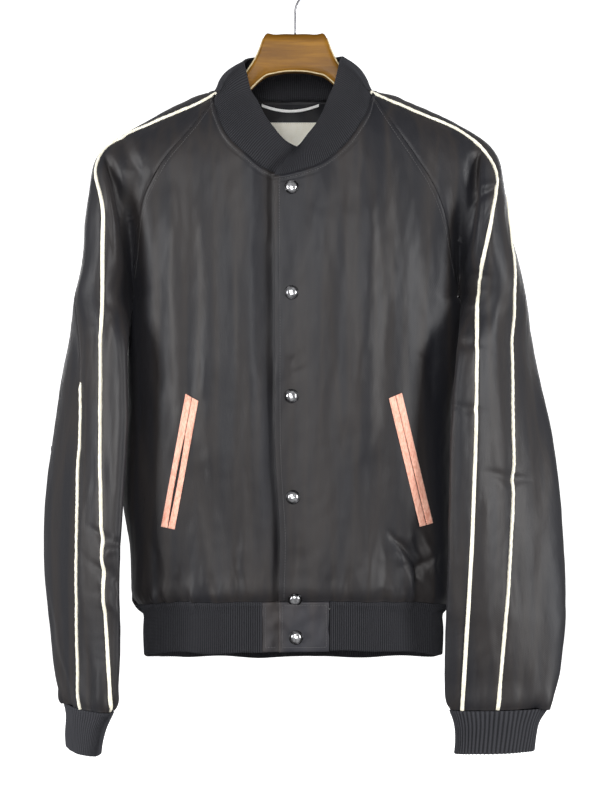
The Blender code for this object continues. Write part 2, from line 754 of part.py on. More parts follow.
def back_place(x, z):
    """A point on the back of the form and its outward normal."""
    def surface(x, z):
        side = LEFT if x > 0 else RIGHT
        return np.array([x, torso_reach(side, BACK, abs(x), z) - fold_depth(BACK, x, z), z], float)

    step = 2.0
    across = surface(x + step, z) - surface(x - step, z)
    down = surface(x, z - step) - surface(x, z + step)
    normal = np.cross(across, down)
    return surface(x, z), normal / np.linalg.norm(normal)


# ---- knit trims ---------------------------------------------------------------------------------
def neck_line(panels):
    """Points and normals of the neck seam, from the over front by way of the back to the under front."""
    order = [panels[LEFT, name] for name in ("front", "sleeve_front", "sleeve_top", "sleeve_back")]
    rows = [(grid[0], normal[0]) for grid, normal in order]
    rows.append([line[0][::-1] for line in panels["back"]])
    for name in ("sleeve_back", "sleeve_top", "sleeve_front", "front"):
        rows.append([line[0][::-1] for line in panels[RIGHT, name]])
    return np.concatenate([row[0] for row in rows]), np.concatenate([row[1] for row in rows])


def build_collar(panels, knit):
    """The stand collar, from its seam to its free edge."""
    line, line_normal = neck_line(panels)
    way = np.concatenate([[0], np.cumsum(np.linalg.norm(np.diff(line, axis=0), axis=1))])
    places = even(COLLAR_STATIONS) * way[-1]
    picked = np.unique(np.abs(way[None] - places[:, None]).argmin(axis=1))
    shares = way[picked] / way[-1]
    seam, seam_normal = line[picked], line_normal[picked]
    top = np.column_stack([COLLAR.at(name, shares) for name in ("x", "y", "z")])
    top[:, 1] += UNDERLAP_DEPTH * np.clip((shares - 0.93) / 0.03, 0, 1)
    rise = top - seam
    along = np.gradient(seam, axis=0)
    off = np.cross(seam_normal, along)
    off *= np.sign(np.sum(off * rise, axis=1, keepdims=True)) / np.linalg.norm(off, axis=1, keepdims=True)
    seam = seam + off * SEAM_GAP * 1.8
    normal = np.cross(np.gradient(seam + top, axis=0), rise)
    normal /= np.linalg.norm(normal, axis=1, keepdims=True)
    rows = [seam + rise * t + normal * COLLAR_BULGE * np.sin(np.pi * t) for t in even(4)]
    add_wall("collar_rib", np.stack(rows), np.stack([seam_normal, normal, normal, normal]), RIB, knit)


def resampled(line, first, last, count):
    """Points at even ways along a polyline, between two ways."""
    way = np.concatenate([[0], np.cumsum(np.linalg.norm(np.diff(line, axis=0), axis=1))])
    places = np.linspace(first, last, count)
    return np.column_stack([np.interp(places, way, line[:, k]) for k in range(3)])


def flat_normals(line):
    """Level normals of a line that runs round the jacket from its front by way of the wearer's left."""
    run = np.gradient(line, axis=0)
    normal = np.column_stack([run[:, 1], -run[:, 0], np.zeros(len(line))])
    return normal / np.linalg.norm(normal, axis=1, keepdims=True)


def way_of_x(line, x):
    """Way along a polyline at which it first passes an X."""
    way = np.concatenate([[0], np.cumsum(np.linalg.norm(np.diff(line, axis=0), axis=1))])
    past = np.nonzero((line[1:, 0] - x) * (line[:-1, 0] - x) <= 0)[0][0]
    share = (x - line[past, 0]) / (line[past + 1, 0] - line[past, 0])
    return way[past] + (way[past + 1] - way[past]) * share


def hem_wall(name, line, wall, finish, draw_in):
    """A band that goes on from a line on the hem seam: it draws in below the seam and hangs straight."""
    normal = flat_normals(line)
    rows = []
    for drop, inset in ((SEAM_GAP, 0.0), (12.0, draw_in), (HEM_RIB, draw_in)):
        rows.append(line - normal * inset - np.array((0, 0, drop)))
    add_wall(name, np.array(rows), np.array([normal] * 3), wall, finish)


def build_hem(panels, knit, satin):
    """The hem rib and the two tabs, from the last rows of the panels above them."""
    left, right, back = (panels[key][0][-1] for key in ((LEFT, "front"), (RIGHT, "front"), "back"))
    ring = np.concatenate([left, back[::-1], right[::-1]])
    length = np.linalg.norm(np.diff(ring, axis=0), axis=1).sum()
    rib_start = way_of_x(ring, RIB_GAP_LEFT)
    rib_end = length - way_of_x(ring[::-1], RIB_GAP_RIGHT)
    hem_wall("hem_rib", resampled(ring, rib_start, rib_end, 29), RIB, knit, 4.0)
    tab = resampled(left, 0, way_of_x(left, TAB_LEFT_END), 5)
    hem_wall("hem_tab_left", tab, CLOTH, satin, 1.0)
    under = right[::-1]
    tab = resampled(under, way_of_x(under, TAB_RIGHT_END), way_of_x(under, right[0, 0] - 0.01), 5)
    hem_wall("hem_tab_right", tab, CLOTH, satin, 1.0)


def build_cuffs(knit):
    for side, label in ((LEFT, "left"), (RIGHT, "right")):
        shares = even(CUFF_COLUMNS + 1)[:-1]
        strip = Strip(side, "cuff", shares, CUFF_END)
        levels = np.array((SLEEVE_END - 2 * SEAM_GAP, -878, -892, CUFF_END))
        grid, normal = strip.points(np.repeat(levels[:, None], len(shares), axis=1))
        add_wall(f"cuff_{label}", grid, normal, RIB, knit, ring=True)


def facet_place(grid, x, z):
    """The point of a front panel's own facets at X and Z, and the facet's outward normal."""
    a, b = grid[:-1, :-1].reshape(-1, 3), grid[:-1, 1:].reshape(-1, 3)
    d, c = grid[1:, :-1].reshape(-1, 3), grid[1:, 1:].reshape(-1, 3)
    for first, second, third in ((a, d, c), (a, c, b)):
        u, v = second - first, third - first
        area = u[:, 0] * v[:, 2] - u[:, 2] * v[:, 0]
        px, pz = x - first[:, 0], z - first[:, 2]
        s = (px * v[:, 2] - pz * v[:, 0]) / area
        t = (u[:, 0] * pz - u[:, 2] * px) / area
        found = np.nonzero((s >= -1e-6) & (t >= -1e-6) & (s + t <= 1 + 1e-6))[0]
        if len(found):
            k = found[0]
            normal = np.cross(u[k], v[k])
            normal = normal * -np.sign(normal[1])
            return first[k] + u[k] * s[k] + v[k] * t[k], normal / np.linalg.norm(normal)
    raise ValueError("no facet there")


# ---- details on the fronts ----------------------------------------------------------------------
def build_welts(panels, salmon):
    """Two welts at each pocket, one on each side of the slit."""
    for welt in WELTS:
        grid = panels[welt["side"], "front"][0]
        label = "left" if welt["side"] == LEFT else "right"
        way = np.array([welt["x_bottom"] - welt["x_top"], welt["z_bottom"] - welt["z_top"]])
        way /= np.linalg.norm(way)
        beside = np.array([-way[1], way[0]]) * welt["side"]
        for name, sense in (("inner", -1), ("outer", 1)):
            sections = []
            for share in even(14):
                x = welt["x_top"] + (welt["x_bottom"] - welt["x_top"]) * share
                z = welt["z_top"] + (welt["z_bottom"] - welt["z_top"]) * share
                section = []
                near, far = WELT_SLIT / 2, WELT_SLIT / 2 + WELT_WIDTH
                low, high = LIFT, LIFT + WELT_HEIGHT
                for reach, lift in ((near, low), (far, low), (far, high), (near, high)):
                    place = np.array((x, z)) + beside * reach * sense
                    point, normal = facet_place(grid, *place)
                    section.append(point + normal * lift)
                sections.append(np.array(section))
            add_loft(f"welt_{label}_{name}", sections, salmon)


def turned(name, profile, base, axis, finish, sides=16):
    """A turned solid: the profile's radii and heights round an axis that stands on a base point."""
    axis = axis / np.linalg.norm(axis)
    first = np.cross(axis, (0, 0, 1.0))
    first /= np.linalg.norm(first)
    second = np.cross(axis, first)
    angles = 2 * np.pi * np.arange(sides) / sides
    sections = []
    for radius, height in profile:
        ring = [base + axis * height + (first * np.cos(a) + second * np.sin(a)) * radius for a in angles]
        sections.append(np.array(ring))
    return add_loft(name, sections, finish, 50.0)


def tab_place(x, z):
    """A point on the over tab, which hangs straight below the hem seam, and its normal."""
    point, normal = front_place(x, TAB_TOP)
    normal = normal * (1, 1, 0)
    normal /= np.linalg.norm(normal)
    point = point - normal
    return np.array((point[0], point[1], z)), normal


def build_snaps(steel, pearl):
    """Each snap has a steel ring with a dark dome in it."""
    for number, (x, z) in enumerate(SNAPS, 1):
        base, normal = front_place(x, z)
        if z < TAB_TOP:
            base, normal = tab_place(x, z)
        rim = SNAP_RADIUS
        ring = ((rim - 0.4, LIFT), (rim, LIFT + 0.6), (rim - 0.6, LIFT + 1.5), (rim - 1.7, LIFT + 1.8))
        turned(f"snap_{number}_ring", ring, base, normal, steel)
        cap = rim - 1.9
        dome = ((cap, 2.1), (cap * 0.93, 2.9), (cap * 0.7, 3.7), (cap * 0.35, 4.2), (cap * 0.08, 4.3))
        turned(f"snap_{number}_dome", [(r, h + LIFT) for r, h in dome], base, normal, pearl)


# ---- inside the back neck -----------------------------------------------------------------------
def inside_back(x, z, depth):
    """A place inside the back at a depth from its outer side, with its outward normal."""
    point, normal = back_place(x, z)
    return point - normal * depth, normal


def build_neck(satin, label, white):
    """The facing inside the back neck, with a bare label and the hanging loop on it."""
    depth = CLOTH + FACING_GAP
    rows, columns = 6, 11
    grid = np.zeros((rows, columns, 3))
    normal = np.zeros((rows, columns, 3))
    for j, share in enumerate(np.linspace(-1, 1, columns)):
        low = FACING_DEPTH * np.sqrt(1 - (share * 0.97) ** 2)
        for i, down in enumerate(even(rows)):
            z = NECK_TOP - FACING_START - low * down
            grid[i, j], normal[i, j] = inside_back(share * FACING_HALF, z, depth)
    add_wall("neck_facing", grid, normal, FACING_WALL, satin)
    patch = []
    patch_normal = []
    for z in np.linspace(LABEL["top"], LABEL["bottom"], 3):
        across = np.linspace(LABEL["x_low"], LABEL["x_high"], 7)
        places = [inside_back(x, z, depth + FACING_WALL + LIFT) for x in across]
        patch.append([place[0] for place in places])
        patch_normal.append([place[1] for place in places])
    add_wall("neck_label", np.array(patch), np.array(patch_normal), FACING_WALL, label)
    sections = []
    for share in even(9):
        x = LOOP["x_low"] + (LOOP["x_high"] - LOOP["x_low"]) * share
        z = LOOP["top"] - LOOP["sag"] * np.sin(np.pi * share)
        point, out = inside_back(x, z, depth + FACING_WALL + LIFT + LOOP["thick"])
        up = np.array((0, 0, LOOP["width"] / 2))
        back = out * LOOP["thick"]
        sections.append(np.array([point - up, point + up, point + up - back, point - up - back]))
    add_loft("hanger_loop", sections, white)


# ---- hanger -------------------------------------------------------------------------------------
def build_hanger(wood, steel):
    sides = 16
    angles = 2 * np.pi * (np.arange(sides) + 0.5) / sides
    sections = []
    reach = HANGER.key[-1]
    for x in (-reach, -206, -170, -130, -95, -80, -64, -52, -44, -38, -33, -20,
              20, 33, 38, 44, 52, 64, 80, 95, 130, 170, 206, reach):
        out = abs(x)
        top, bottom = HANGER.at("top", out), HANGER.at("bottom", out)
        half, power = HANGER.at("half", out), HANGER.at("power", out)
        bow = 12.0 * (out / 215) ** 2
        cosine, sine = np.cos(angles), np.sin(angles)
        y = half * np.sign(cosine) * np.abs(cosine) ** (2 / power) - bow
        z = (top + bottom) / 2 + (top - bottom) / 2 * np.sign(sine) * np.abs(sine) ** (2 / power)
        sections.append(np.column_stack([np.full(sides, float(x)), y, z]))
    add_loft("hanger_wood", sections, wood, 40.0)
    build_hook(steel)


def build_hook(steel):
    """The hook's wire: straight up from the wood, then a bow round the hanging point."""
    radius = HOOK_RADIUS + WIRE_RADIUS
    centre_z = WIRE_RADIUS - radius
    route = [(0.0, HANGER.at("top", 0.0) + SEAM_GAP), (0.0, -70.0)]
    join = radius * np.cos(np.radians(-56)), centre_z + radius * np.sin(np.radians(-56))
    bend_start, bend_end = np.array((0.0, -58.0)), np.array(join)
    control = np.array((0.0, -46.0))
    for t in even(7)[:-1]:
        route.append(tuple(bend_start * (1 - t) ** 2 + control * 2 * t * (1 - t) + bend_end * t * t))
    for angle in np.radians(np.arange(-56, 206, 12)):
        route.append((radius * np.cos(angle), centre_z + radius * np.sin(angle)))
    curve = bpy.data.curves.new("hanger_hook", "CURVE")
    curve.dimensions = "3D"
    curve.bevel_depth = WIRE_RADIUS * MM
    curve.bevel_resolution = 2
    curve.use_fill_caps = True
    line = curve.splines.new("POLY")
    line.points.add(len(route) - 1)
    for point, (x, z) in zip(line.points, route):
        point.co = (x * MM, 0.0, z * MM, 1.0)
    curve.materials.append(steel)
    made = bpy.data.objects.new("hanger_hook", curve)
    bpy.context.scene.collection.objects.link(made)


def main():
    for old in list(bpy.data.objects):
        bpy.data.objects.remove(old)
    satin = material("charcoal_satin", (0.047, 0.047, 0.050), 0.42)
    knit = material("black_knit", (0.018, 0.019, 0.023), 0.9)
    cream = material("cream_satin", (0.78, 0.72, 0.56), 0.5)
    salmon = material("salmon_satin", (0.78, 0.30, 0.22), 0.55)
    steel = material("dark_steel", (0.16, 0.16, 0.17), 0.3, 1.0)
    silver = material("silver_ring", (0.62, 0.62, 0.63), 0.25, 1.0)
    pearl = material("dark_pearl", (0.05, 0.05, 0.06), 0.15)
    white = material("white_tape", (0.85, 0.85, 0.85), 0.7)
    label = material("cream_label", (0.78, 0.72, 0.56), 0.7)
    wood = material("varnished_wood", (0.36, 0.16, 0.04), 0.3)
    panels = {}
    build_fronts(panels, satin)
    build_back(panels, satin)
    build_sleeves(panels, satin, cream)
    build_collar(panels, knit)
    build_hem(panels, knit, satin)
    build_cuffs(knit)
    build_welts(panels, salmon)
    build_snaps(silver, pearl)
    build_neck(satin, label, white)
    build_hanger(wood, steel)


main()
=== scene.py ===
"""Looks of the snap-front raglan jacket on its wooden hanger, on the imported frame.

The cloth's form is worked out here from the same sizes as the CAD part's, at a much finer step, and folds,
seam grooves and puckers are laid on it.  Tables and sizes are in millimetres; add_piece turns them into
metres.  The front faces -Y and +X is the wearer's left.
"""

import bpy
import numpy as np
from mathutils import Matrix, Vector
from mathutils.bvhtree import BVHTree


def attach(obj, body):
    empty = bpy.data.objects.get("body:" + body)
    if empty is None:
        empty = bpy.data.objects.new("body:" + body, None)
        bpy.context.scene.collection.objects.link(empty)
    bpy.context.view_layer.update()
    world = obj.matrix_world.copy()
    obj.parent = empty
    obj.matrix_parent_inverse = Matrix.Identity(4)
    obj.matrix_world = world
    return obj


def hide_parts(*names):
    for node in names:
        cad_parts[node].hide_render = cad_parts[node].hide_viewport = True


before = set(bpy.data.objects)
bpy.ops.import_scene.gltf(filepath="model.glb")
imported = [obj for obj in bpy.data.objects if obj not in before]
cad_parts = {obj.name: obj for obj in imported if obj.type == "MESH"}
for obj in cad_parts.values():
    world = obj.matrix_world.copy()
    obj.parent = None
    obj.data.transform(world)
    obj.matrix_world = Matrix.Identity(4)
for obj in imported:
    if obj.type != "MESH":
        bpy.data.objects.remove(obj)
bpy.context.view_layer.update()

MM = 0.001
BODY = "root"

# ---- driving sizes ------------------------------------------------------------------------------
CLOTH = 1.5             # wall of the satin with its lining
RIB = 3.0               # wall of the folded knit
SEAM_GAP = 0.3          # between pieces that are sewn together
UNDERARM = -390.0       # level where sleeve and torso part
NECK_TOP = -151.0       # level of the neck seam behind the shoulders
NECK_PIPING = -152.0    # level of the neck seam at the front pipings
SLEEVE_END = -864.0
CUFF_END = -914.0
HEM_SEAM = -750.0       # hem seam at the side; the hem drops towards the back
HEM_SLOPE = 0.15
HEM_RIB = 57.0
SLEEVE_SEAM_TURN = 32.0 # how far the underarm seam turns to the sleeve's back
VALLEY_LEAST = 1.8      # least reach of the valley between torso and sleeve
UNDERLAP_DEPTH = 3.6    # how far the under front lies behind the over front
LEFT, RIGHT = 1, -1     # the wearer's sides, as signs of X
FRONT, BACK = -1, 1     # faces, as signs of Y
NECK_FRONT = {RIGHT: -166.0, LEFT: -160.0}      # levels where the front raglan seams meet the neck seam
CLOTH_WALL = 1.0        # what shows of the cloth's wall
EDGE_EXTRA = 1.2        # extra wall at the fronts' folded edges
TAB_WALL = 2.4          # wall of the folded hem tabs
GRID_STEP = 2.9         # widest step of a panel's grid
SEAM_STEP = 0.75        # step of the grid at its seams
SEAM_DIP = 0.75         # a seam's groove, and the swell of the layers beside it
SEAM_DIP_WIDTH = 1.9
SEAM_SWELL = 0.25
PUCKER_STEP = 9.5       # pitch of a seam's puckers, and how far they reach from it
PUCKER_REACH = 9.0
CREASE_GAIN = 1.4       # factor on every crease's depth
HEM_GATHER = 3.2        # depth and reach of the gathers above the hem and the cuffs
HEM_GATHER_REACH = 26.0
FINE_GATHER = 2.0       # and of the fine ones between them
FINE_GATHER_REACH = 13.0
EDGE_STAND = 1.3        # how far the over front's edge stands off where it is loosest
EDGE_REACH = 9.0        # how far from the edge that and its extra wall are felt
UNDER_FALL = 4.5        # how far the under front falls back along it
NECK_DIP = 1.1          # groove of the neck's topstitching, and the roll above it
NECK_ROLL = 1.1
RAGLAN_DIP = 0.35       # groove of the raglan seams' topstitching
STITCH_DIP_WIDTH = 1.3
HEM_TUCK = 2.6          # how far the cloth turns in at the hem and the cuffs
CUFF_TUCK = 1.6
PIPING_SEAT = 0.35      # how far a piping lies proud of its seam
PIPING_START = {"front": 13.8, "back": 0.6}     # where the pipings come out from under the neck seam
PIPING_STEP = 1.1       # between a piping's rings
RIB_PITCH = 2.6         # of the knit's ribs
RIB_DEPTH = 0.5
NECK_STITCH = 5.8       # distances of the topstitching from its seams
EDGE_STITCH = 5.8
RAGLAN_STITCH = 5.0
CUFF_RIBS = {LEFT: 72, RIGHT: 76}       # ribs round each cuff
WELT_GAPE = {LEFT: 0.3, RIGHT: 2.6}     # how far each slit stands open at its widest
SHOULDER_FORWARD = 6.0  # the front piping lies this far before the shoulder's ridge
FOLD_BOTTOM = -496.0    # the strip's cloth hides the back piping above this on the wearer's right
WELT_SKEW = {LEFT: 2.5, RIGHT: 5.0}     # how far a welt's top end slants


class Table:
    """Rows of named columns, read as natural cubic curves over the first column."""

    def __init__(self, names, rows):
        ordered = np.array(sorted(rows), float)
        self.key = ordered[:, 0]
        self.column = {name: ordered[:, i] for i, name in enumerate(names)}
        self.bend = {name: self.bends(values) for name, values in self.column.items()}

    def bends(self, values):
        """Second derivatives of the curve at the rows."""
        gap = np.diff(self.key)
        count = len(self.key)
        matrix = np.eye(count)
        right = np.zeros(count)
        for i in range(1, count - 1):
            matrix[i, i - 1:i + 2] = gap[i - 1] / 6, (gap[i - 1] + gap[i]) / 3, gap[i] / 6
            right[i] = (values[i + 1] - values[i]) / gap[i] - (values[i] - values[i - 1]) / gap[i - 1]
        return np.linalg.solve(matrix, right)

    def at(self, name, key):
        key = np.clip(key, self.key[0], self.key[-1])
        i = np.clip(np.searchsorted(self.key, key, side="right") - 1, 0, len(self.key) - 2)
        gap = self.key[i + 1] - self.key[i]
        low = (self.key[i + 1] - key) / gap
        high = (key - self.key[i]) / gap
        values, bend = self.column[name], self.bend[name]
        curve = (low ** 3 - low) * bend[i] + (high ** 3 - high) * bend[i + 1]
        return low * values[i] + high * values[i + 1] + curve * gap * gap / 6


def side_tables(names, right, left):
    """A table for each of the wearer's sides."""
    return {RIGHT: Table(names, right), LEFT: Table(names, left)}


# Reach of the torso's oval in front of and behind its middle, its squareness, and how softly it meets
# the sleeves.
TORSO = Table(("z", "front", "back", "power", "soft"), [
    (-140, 50, 50, 1.7, 0), (-152, 57, 56, 1.7, 0), (-168, 64, 62, 1.75, 4), (-195, 71, 68, 1.8, 8),
    (-223, 76, 72, 1.9, 12), (-250, 80, 76, 2.05, 14), (-300, 86, 81, 2.2, 12), (-345, 89, 84, 2.3, 8),
    (-390, 91, 85, 2.3, 0), (-450, 92, 86, 2.3, 0), (-520, 91, 87, 2.3, 0), (-600, 88, 87, 2.35, 0),
    (-680, 84, 86, 2.4, 0), (-730, 80, 84, 2.4, 0), (-765, 74, 78, 2.4, 0), (-830, 70, 74, 2.4, 0),
])

# Distances outward from X = 0: the outer edge, the torso's side and the sleeve's inner edge.  Then the
# sleeve oval's half depth, the Y of its middle, and how far its outer edge lies behind its middle.  The
# hanger's ends carry the shoulders forward by the bow of the last table.
SIDE = side_tables(("z", "tip", "torso", "inner", "deep", "middle", "lean"), [
    (-146, 70, 70, 22, 14, 0, 0), (-151, 94, 94, 42, 17, 0, 0), (-155, 112, 112, 58, 19, 0, 0),
    (-160, 123.5, 123.5, 68, 20, 0, 0), (-168, 140.5, 140.5, 86, 21, 0, 0),
    (-181, 164.5, 164.5, 110, 23, 0, 0), (-195, 188.5, 188.5, 136, 26, 0, 0),
    (-209, 210.5, 210.5, 156, 29, 0, 0), (-223, 226, 225, 166, 34, 0, 0), (-237, 233.6, 229, 171, 41, 0, 0),
    (-251, 236.3, 224, 174, 48, 0, 0), (-276, 239.4, 214, 178, 57, 0, 0), (-311, 244, 203, 183, 66, 2, 2),
    (-346, 246.5, 195, 186.5, 71, 4, 4), (-390, 258, 187.8, 189.2, 70, 6, 7),
    (-434, 268.5, 186.5, 188.5, 54, -2, 46), (-480, 278.4, 187, 188.5, 41, -10, 57),
    (-540, 287.2, 190, 188.8, 35, -15, 58), (-600, 295.1, 194, 192.3, 32, -19, 56),
    (-660, 298.5, 196, 195.9, 31, -23, 56), (-697, 298.5, 194.5, 197.5, 31, -24, 56),
    (-732, 296.4, 192, 197.5, 31, -25, 53), (-750, 294.4, 187, 197.3, 31, -25, 52),
    (-767, 292.5, 183, 197, 31, -25, 50), (-800, 288.3, 181, 197, 30, -26, 48),
    (-837, 282, 181, 199.5, 30, -26, 46), (-864, 272, 181, 205, 31, -26, 41),
    (-878, 268.5, 181, 213, 33, -26, 35), (-892, 267.5, 181, 217, 34, -26, 32),
    (-914, 267, 181, 221, 35, -26, 30),
], [
    (-146, 66, 66, 18, 14, 0, 0), (-151, 90, 90, 38, 17, 0, 0), (-155, 113, 113, 58, 19, 0, 0),
    (-160, 126, 126, 70, 20, 0, 0), (-168, 144.5, 144.5, 90, 21, 0, 0), (-181, 172.5, 172.5, 116, 23, 0, 0),
    (-195, 198.3, 198.3, 144, 26, 0, 0), (-209, 219.3, 219.3, 162, 29, 0, 0),
    (-223, 231.5, 230, 171, 34, 0, 0), (-237, 236.8, 231, 174, 41, 0, 0), (-251, 239.2, 225, 176, 48, 0, 0),
    (-276, 243.5, 214, 180, 57, 0, 0), (-311, 249, 203, 184, 66, 1, 2), (-346, 259.5, 196, 188, 70, 3, 5),
    (-390, 271, 189.5, 191, 66, 5, 7), (-434, 281, 185.5, 186.8, 46, -8, 46),
    (-480, 289.1, 184, 182, 34, -22, 53), (-540, 301.6, 184.5, 177.4, 27, -32, 49),
    (-600, 307.9, 186, 175.7, 25, -37, 43), (-660, 311.1, 187, 174.5, 24, -40, 39),
    (-697, 312.5, 186, 173.6, 23, -41, 36), (-732, 312, 184, 172.3, 22, -42, 30),
    (-750, 311.4, 182, 171.8, 22, -42, 27), (-767, 310.5, 179, 171.4, 21, -42, 23),
    (-800, 306.3, 177, 170.8, 20, -42, 18), (-837, 301, 177, 171.3, 19, -41, 12),
    (-864, 292, 177, 176, 19, -40, 9), (-878, 284, 177, 181.5, 18, -40, 10),
    (-892, 280.5, 177, 183, 17, -40, 10), (-914, 276, 177, 182.5, 17, -40, 10),
])

BOW = Table(("z", "bow"), [
    (-140, 0), (-152, 0), (-180, 6), (-215, 12), (-250, 12), (-320, 5), (-390, 0), (-900, 0),
])

# Seams, outward from X = 0 as seen from the front or the back, and the strip's width between pipings.
SEAM = side_tables(("z", "raglan_front", "raglan_back", "piping", "strip"), [
    (-151, 84, 56, 87, 50), (-166, 93.5, 74, 111.5, 50), (-181, 106, 91, 144, 50),
    (-196, 117, 106, 179.5, 50), (-209, 127.5, 118, 204, 50), (-217, 133.5, 125, 215.5, 50),
    (-230, 144, 134, 225, 50), (-250, 157, 148, 228.8, 50), (-279, 172, 163, 224.5, 50),
    (-314, 182, 177, 222.6, 50), (-352, 187, 185, 222.4, 50), (-390, 188.5, 188.5, 222, 50),
    (-470, 188.5, 188.5, 222.5, 49), (-550, 188.5, 188.5, 222.5, 48), (-640, 188.5, 188.5, 220.5, 47),
    (-740, 188.5, 188.5, 217.3, 46), (-864, 188.5, 188.5, 212, 44),
], [
    (-151, 82.5, 54, 83, 50), (-160, 88.5, 65, 101, 50), (-170, 95.5, 77, 123, 50),
    (-182, 103, 90, 151.5, 50), (-196, 112.5, 104, 183.5, 50), (-210, 122, 117, 205.5, 50),
    (-224, 132, 130, 219, 50), (-238, 141, 141, 228, 50), (-255, 152.5, 151, 232.5, 50),
    (-279, 164.5, 164, 229.8, 50), (-314, 175.5, 178, 222.5, 50), (-352, 183, 187, 213.5, 50),
    (-390, 190, 190, 209, 50), (-470, 190, 190, 206, 49), (-550, 190, 190, 205, 48),
    (-640, 190, 190, 201.5, 47), (-740, 190, 190, 196.5, 46), (-864, 190, 190, 189, 44),
])

# Outward distance of the front neck seam at a level, for each side.
NECK = Table(("z", RIGHT, LEFT), [
    (-262, -40, -60), (-255, 10, -16), (-247, 36, 17), (-235, 51, 39.7), (-220, 68, 56.8),
    (-200, 82.5, 71.9), (-178, 91, 83.8), (-166, 93.5, 87), (-160, 94, 88.5), (-151, 94, 90),
])

# X of the over front's free edge and of the under front's.
PLACKET = Table(("z", "over", "under"), [
    (-250, -23.7, 18), (-350, -23, 18), (-455, -22.3, 18), (-600, -20.3, 18), (-673, -16.5, 18),
    (-718, -17.8, 18), (-800, -18, 18),
])

# How far the piped seams lie from the solids' seams, along the cloth and positive towards the back.
SEAM_SHIFT = side_tables(("z", "front", "back"), [
    (-215, 0, 0), (-235, -1, 0), (-269, -4, 0), (-349, -3.6, -1), (-384, -3, -2), (-418, -1.8, -3),
    (-487, -1.3, -8), (-510, -1.5, -9.5), (-573, -2.3, -11), (-608, -2.6, -11.5), (-659, -2.6, -9.5),
    (-711, -3, -7), (-763, -3.5, -1.8), (-814, -4, -0.5), (-849, -4, 1),
], [
    (-195, 0, 0), (-220, -2, 0), (-246, -3, 0), (-269, -2.5, 0), (-298, -2, 0), (-332, -0.6, 0),
    (-370, -0.4, -1), (-395, -0.4, -1.5), (-418, -0.5, 4), (-453, -1, 12), (-487, -1.3, 11.5),
    (-538, -1, 8), (-608, -0.5, 8), (-659, 0, 7), (-711, 0, 3.6), (-763, 0, 0), (-849, 1.2, -2),
])

# How far the torso's sides swell out below the underarm.
SIDE_SWELL = Table(("z", RIGHT, LEFT), [
    (-390, 1.0, 2.0), (-398, 3, 6.2), (-410, 5, 8), (-434, 7, 9), (-480, 8, 7), (-520, 6.5, 2),
    (-560, 6.8, 0), (-600, 6.5, 0), (-640, 4.5, 0), (-665, 1, 0), (-720, 0, 0),
])

# The collar's free edge, over the share of the neck seam from the over front's edge round the back.
COLLAR = Table(("share", "x", "y", "z"), [
    (0.0, 1, -73, -222.5), (0.035, 7, -71, -216), (0.065, 12, -69, -209), (0.105, 22, -62, -197),
    (0.14, 31, -52, -181), (0.18, 38, -38, -163), (0.22, 45, -25, -142), (0.26, 51, -15.5, -121),
    (0.31, 56, -2, -111), (0.35, 54, 14, -107), (0.385, 45, 28, -104.5), (0.435, 27, 38, -102.5),
    (0.495, 0, 42, -101.5), (0.555, -29, 38, -102.5), (0.61, -49, 28, -105), (0.65, -59, 14, -109),
    (0.69, -62, -2, -115), (0.745, -57, -15.5, -127), (0.77, -52, -24, -146), (0.81, -43.5, -35, -165),
    (0.85, -34, -49, -185), (0.885, -22, -60, -200), (0.915, -10, -66, -213), (0.955, 4, -69, -221),
    (1.0, 14, -70, -227),
])
COLLAR_BULGE = 5.0      # how far the collar swells out between its edges

# Pocket openings: X and Z of the ends of each slit's middle line.
WELT_COLUMNS = ("side", "x_top", "z_top", "x_bottom", "z_bottom")
WELTS = [dict(zip(WELT_COLUMNS, row)) for row in [
    (RIGHT, -116.5, -507, -144.5, -655.5),
    (LEFT, 113.5, -505, 150, -652.5),
]]
WELT_WIDTH = 7.6
WELT_LENGTH = 148.0
WELT_SLIT = 1.0
WELT_STEPS = 72
WELT_SECTION = [        # away from the slit, and up from the cloth
    (0.0, 0.2), (0.1, 1.0), (0.6, 1.65), (1.6, 1.8), (3.2, 1.5), (5.2, 1.35), (6.8, 1.15), (7.4, 0.7),
    (7.6, 0.1), (7.6, -0.3), (0.0, -0.3),
]

# The snaps' places on the front, and the radii and heights of their rings and domes.
SNAPS = ((-3.9, -269.7), (-3.9, -389), (-3.9, -505.5), (-2.2, -619.4), (0.0, -735.5), (1.2, -778.5))
SNAP_RING = ((7.2, -0.6), (7.7, 0.0), (8.0, 0.5), (8.0, 0.9), (7.7, 1.35), (7.2, 1.6), (6.7, 1.55),
             (6.4, 1.2), (6.2, 1.25), (6.0, 1.1), (5.8, 0.6))
SNAP_DOME = ((6.1, 0.6), (6.05, 1.2), (5.8, 1.9), (5.3, 2.5), (4.6, 3.0), (3.7, 3.4), (2.7, 3.65),
             (1.6, 3.8), (0.6, 3.87), (0.1, 3.88))

# X of each hem tab's end at the knit, and of the knit's ends.
TAB_END = {LEFT: 39.5, RIGHT: -37.0}
RIB_END = {LEFT: 40.0, RIGHT: -37.5}

# The label, the loop and the facing inside the back neck.
LABEL = {"x_low": -36.0, "x_high": 30.0, "top": -177.0, "bottom": -209.0}
LOOP = {"x_low": -41.0, "x_high": 29.0, "top": -156.0, "sag": 7.0, "width": 3.6}
FACING_HALF = 50.0
FACING_GAP = 1.1        # between the back and its facing
FACING_WALL = 1.0
FACING_START = 3.0
FACING_DEPTH = 78.0
FACING_LIES = CLOTH + FACING_GAP + 0.5      # below the back's outer side
LABEL_LIES = FACING_LIES + FACING_WALL

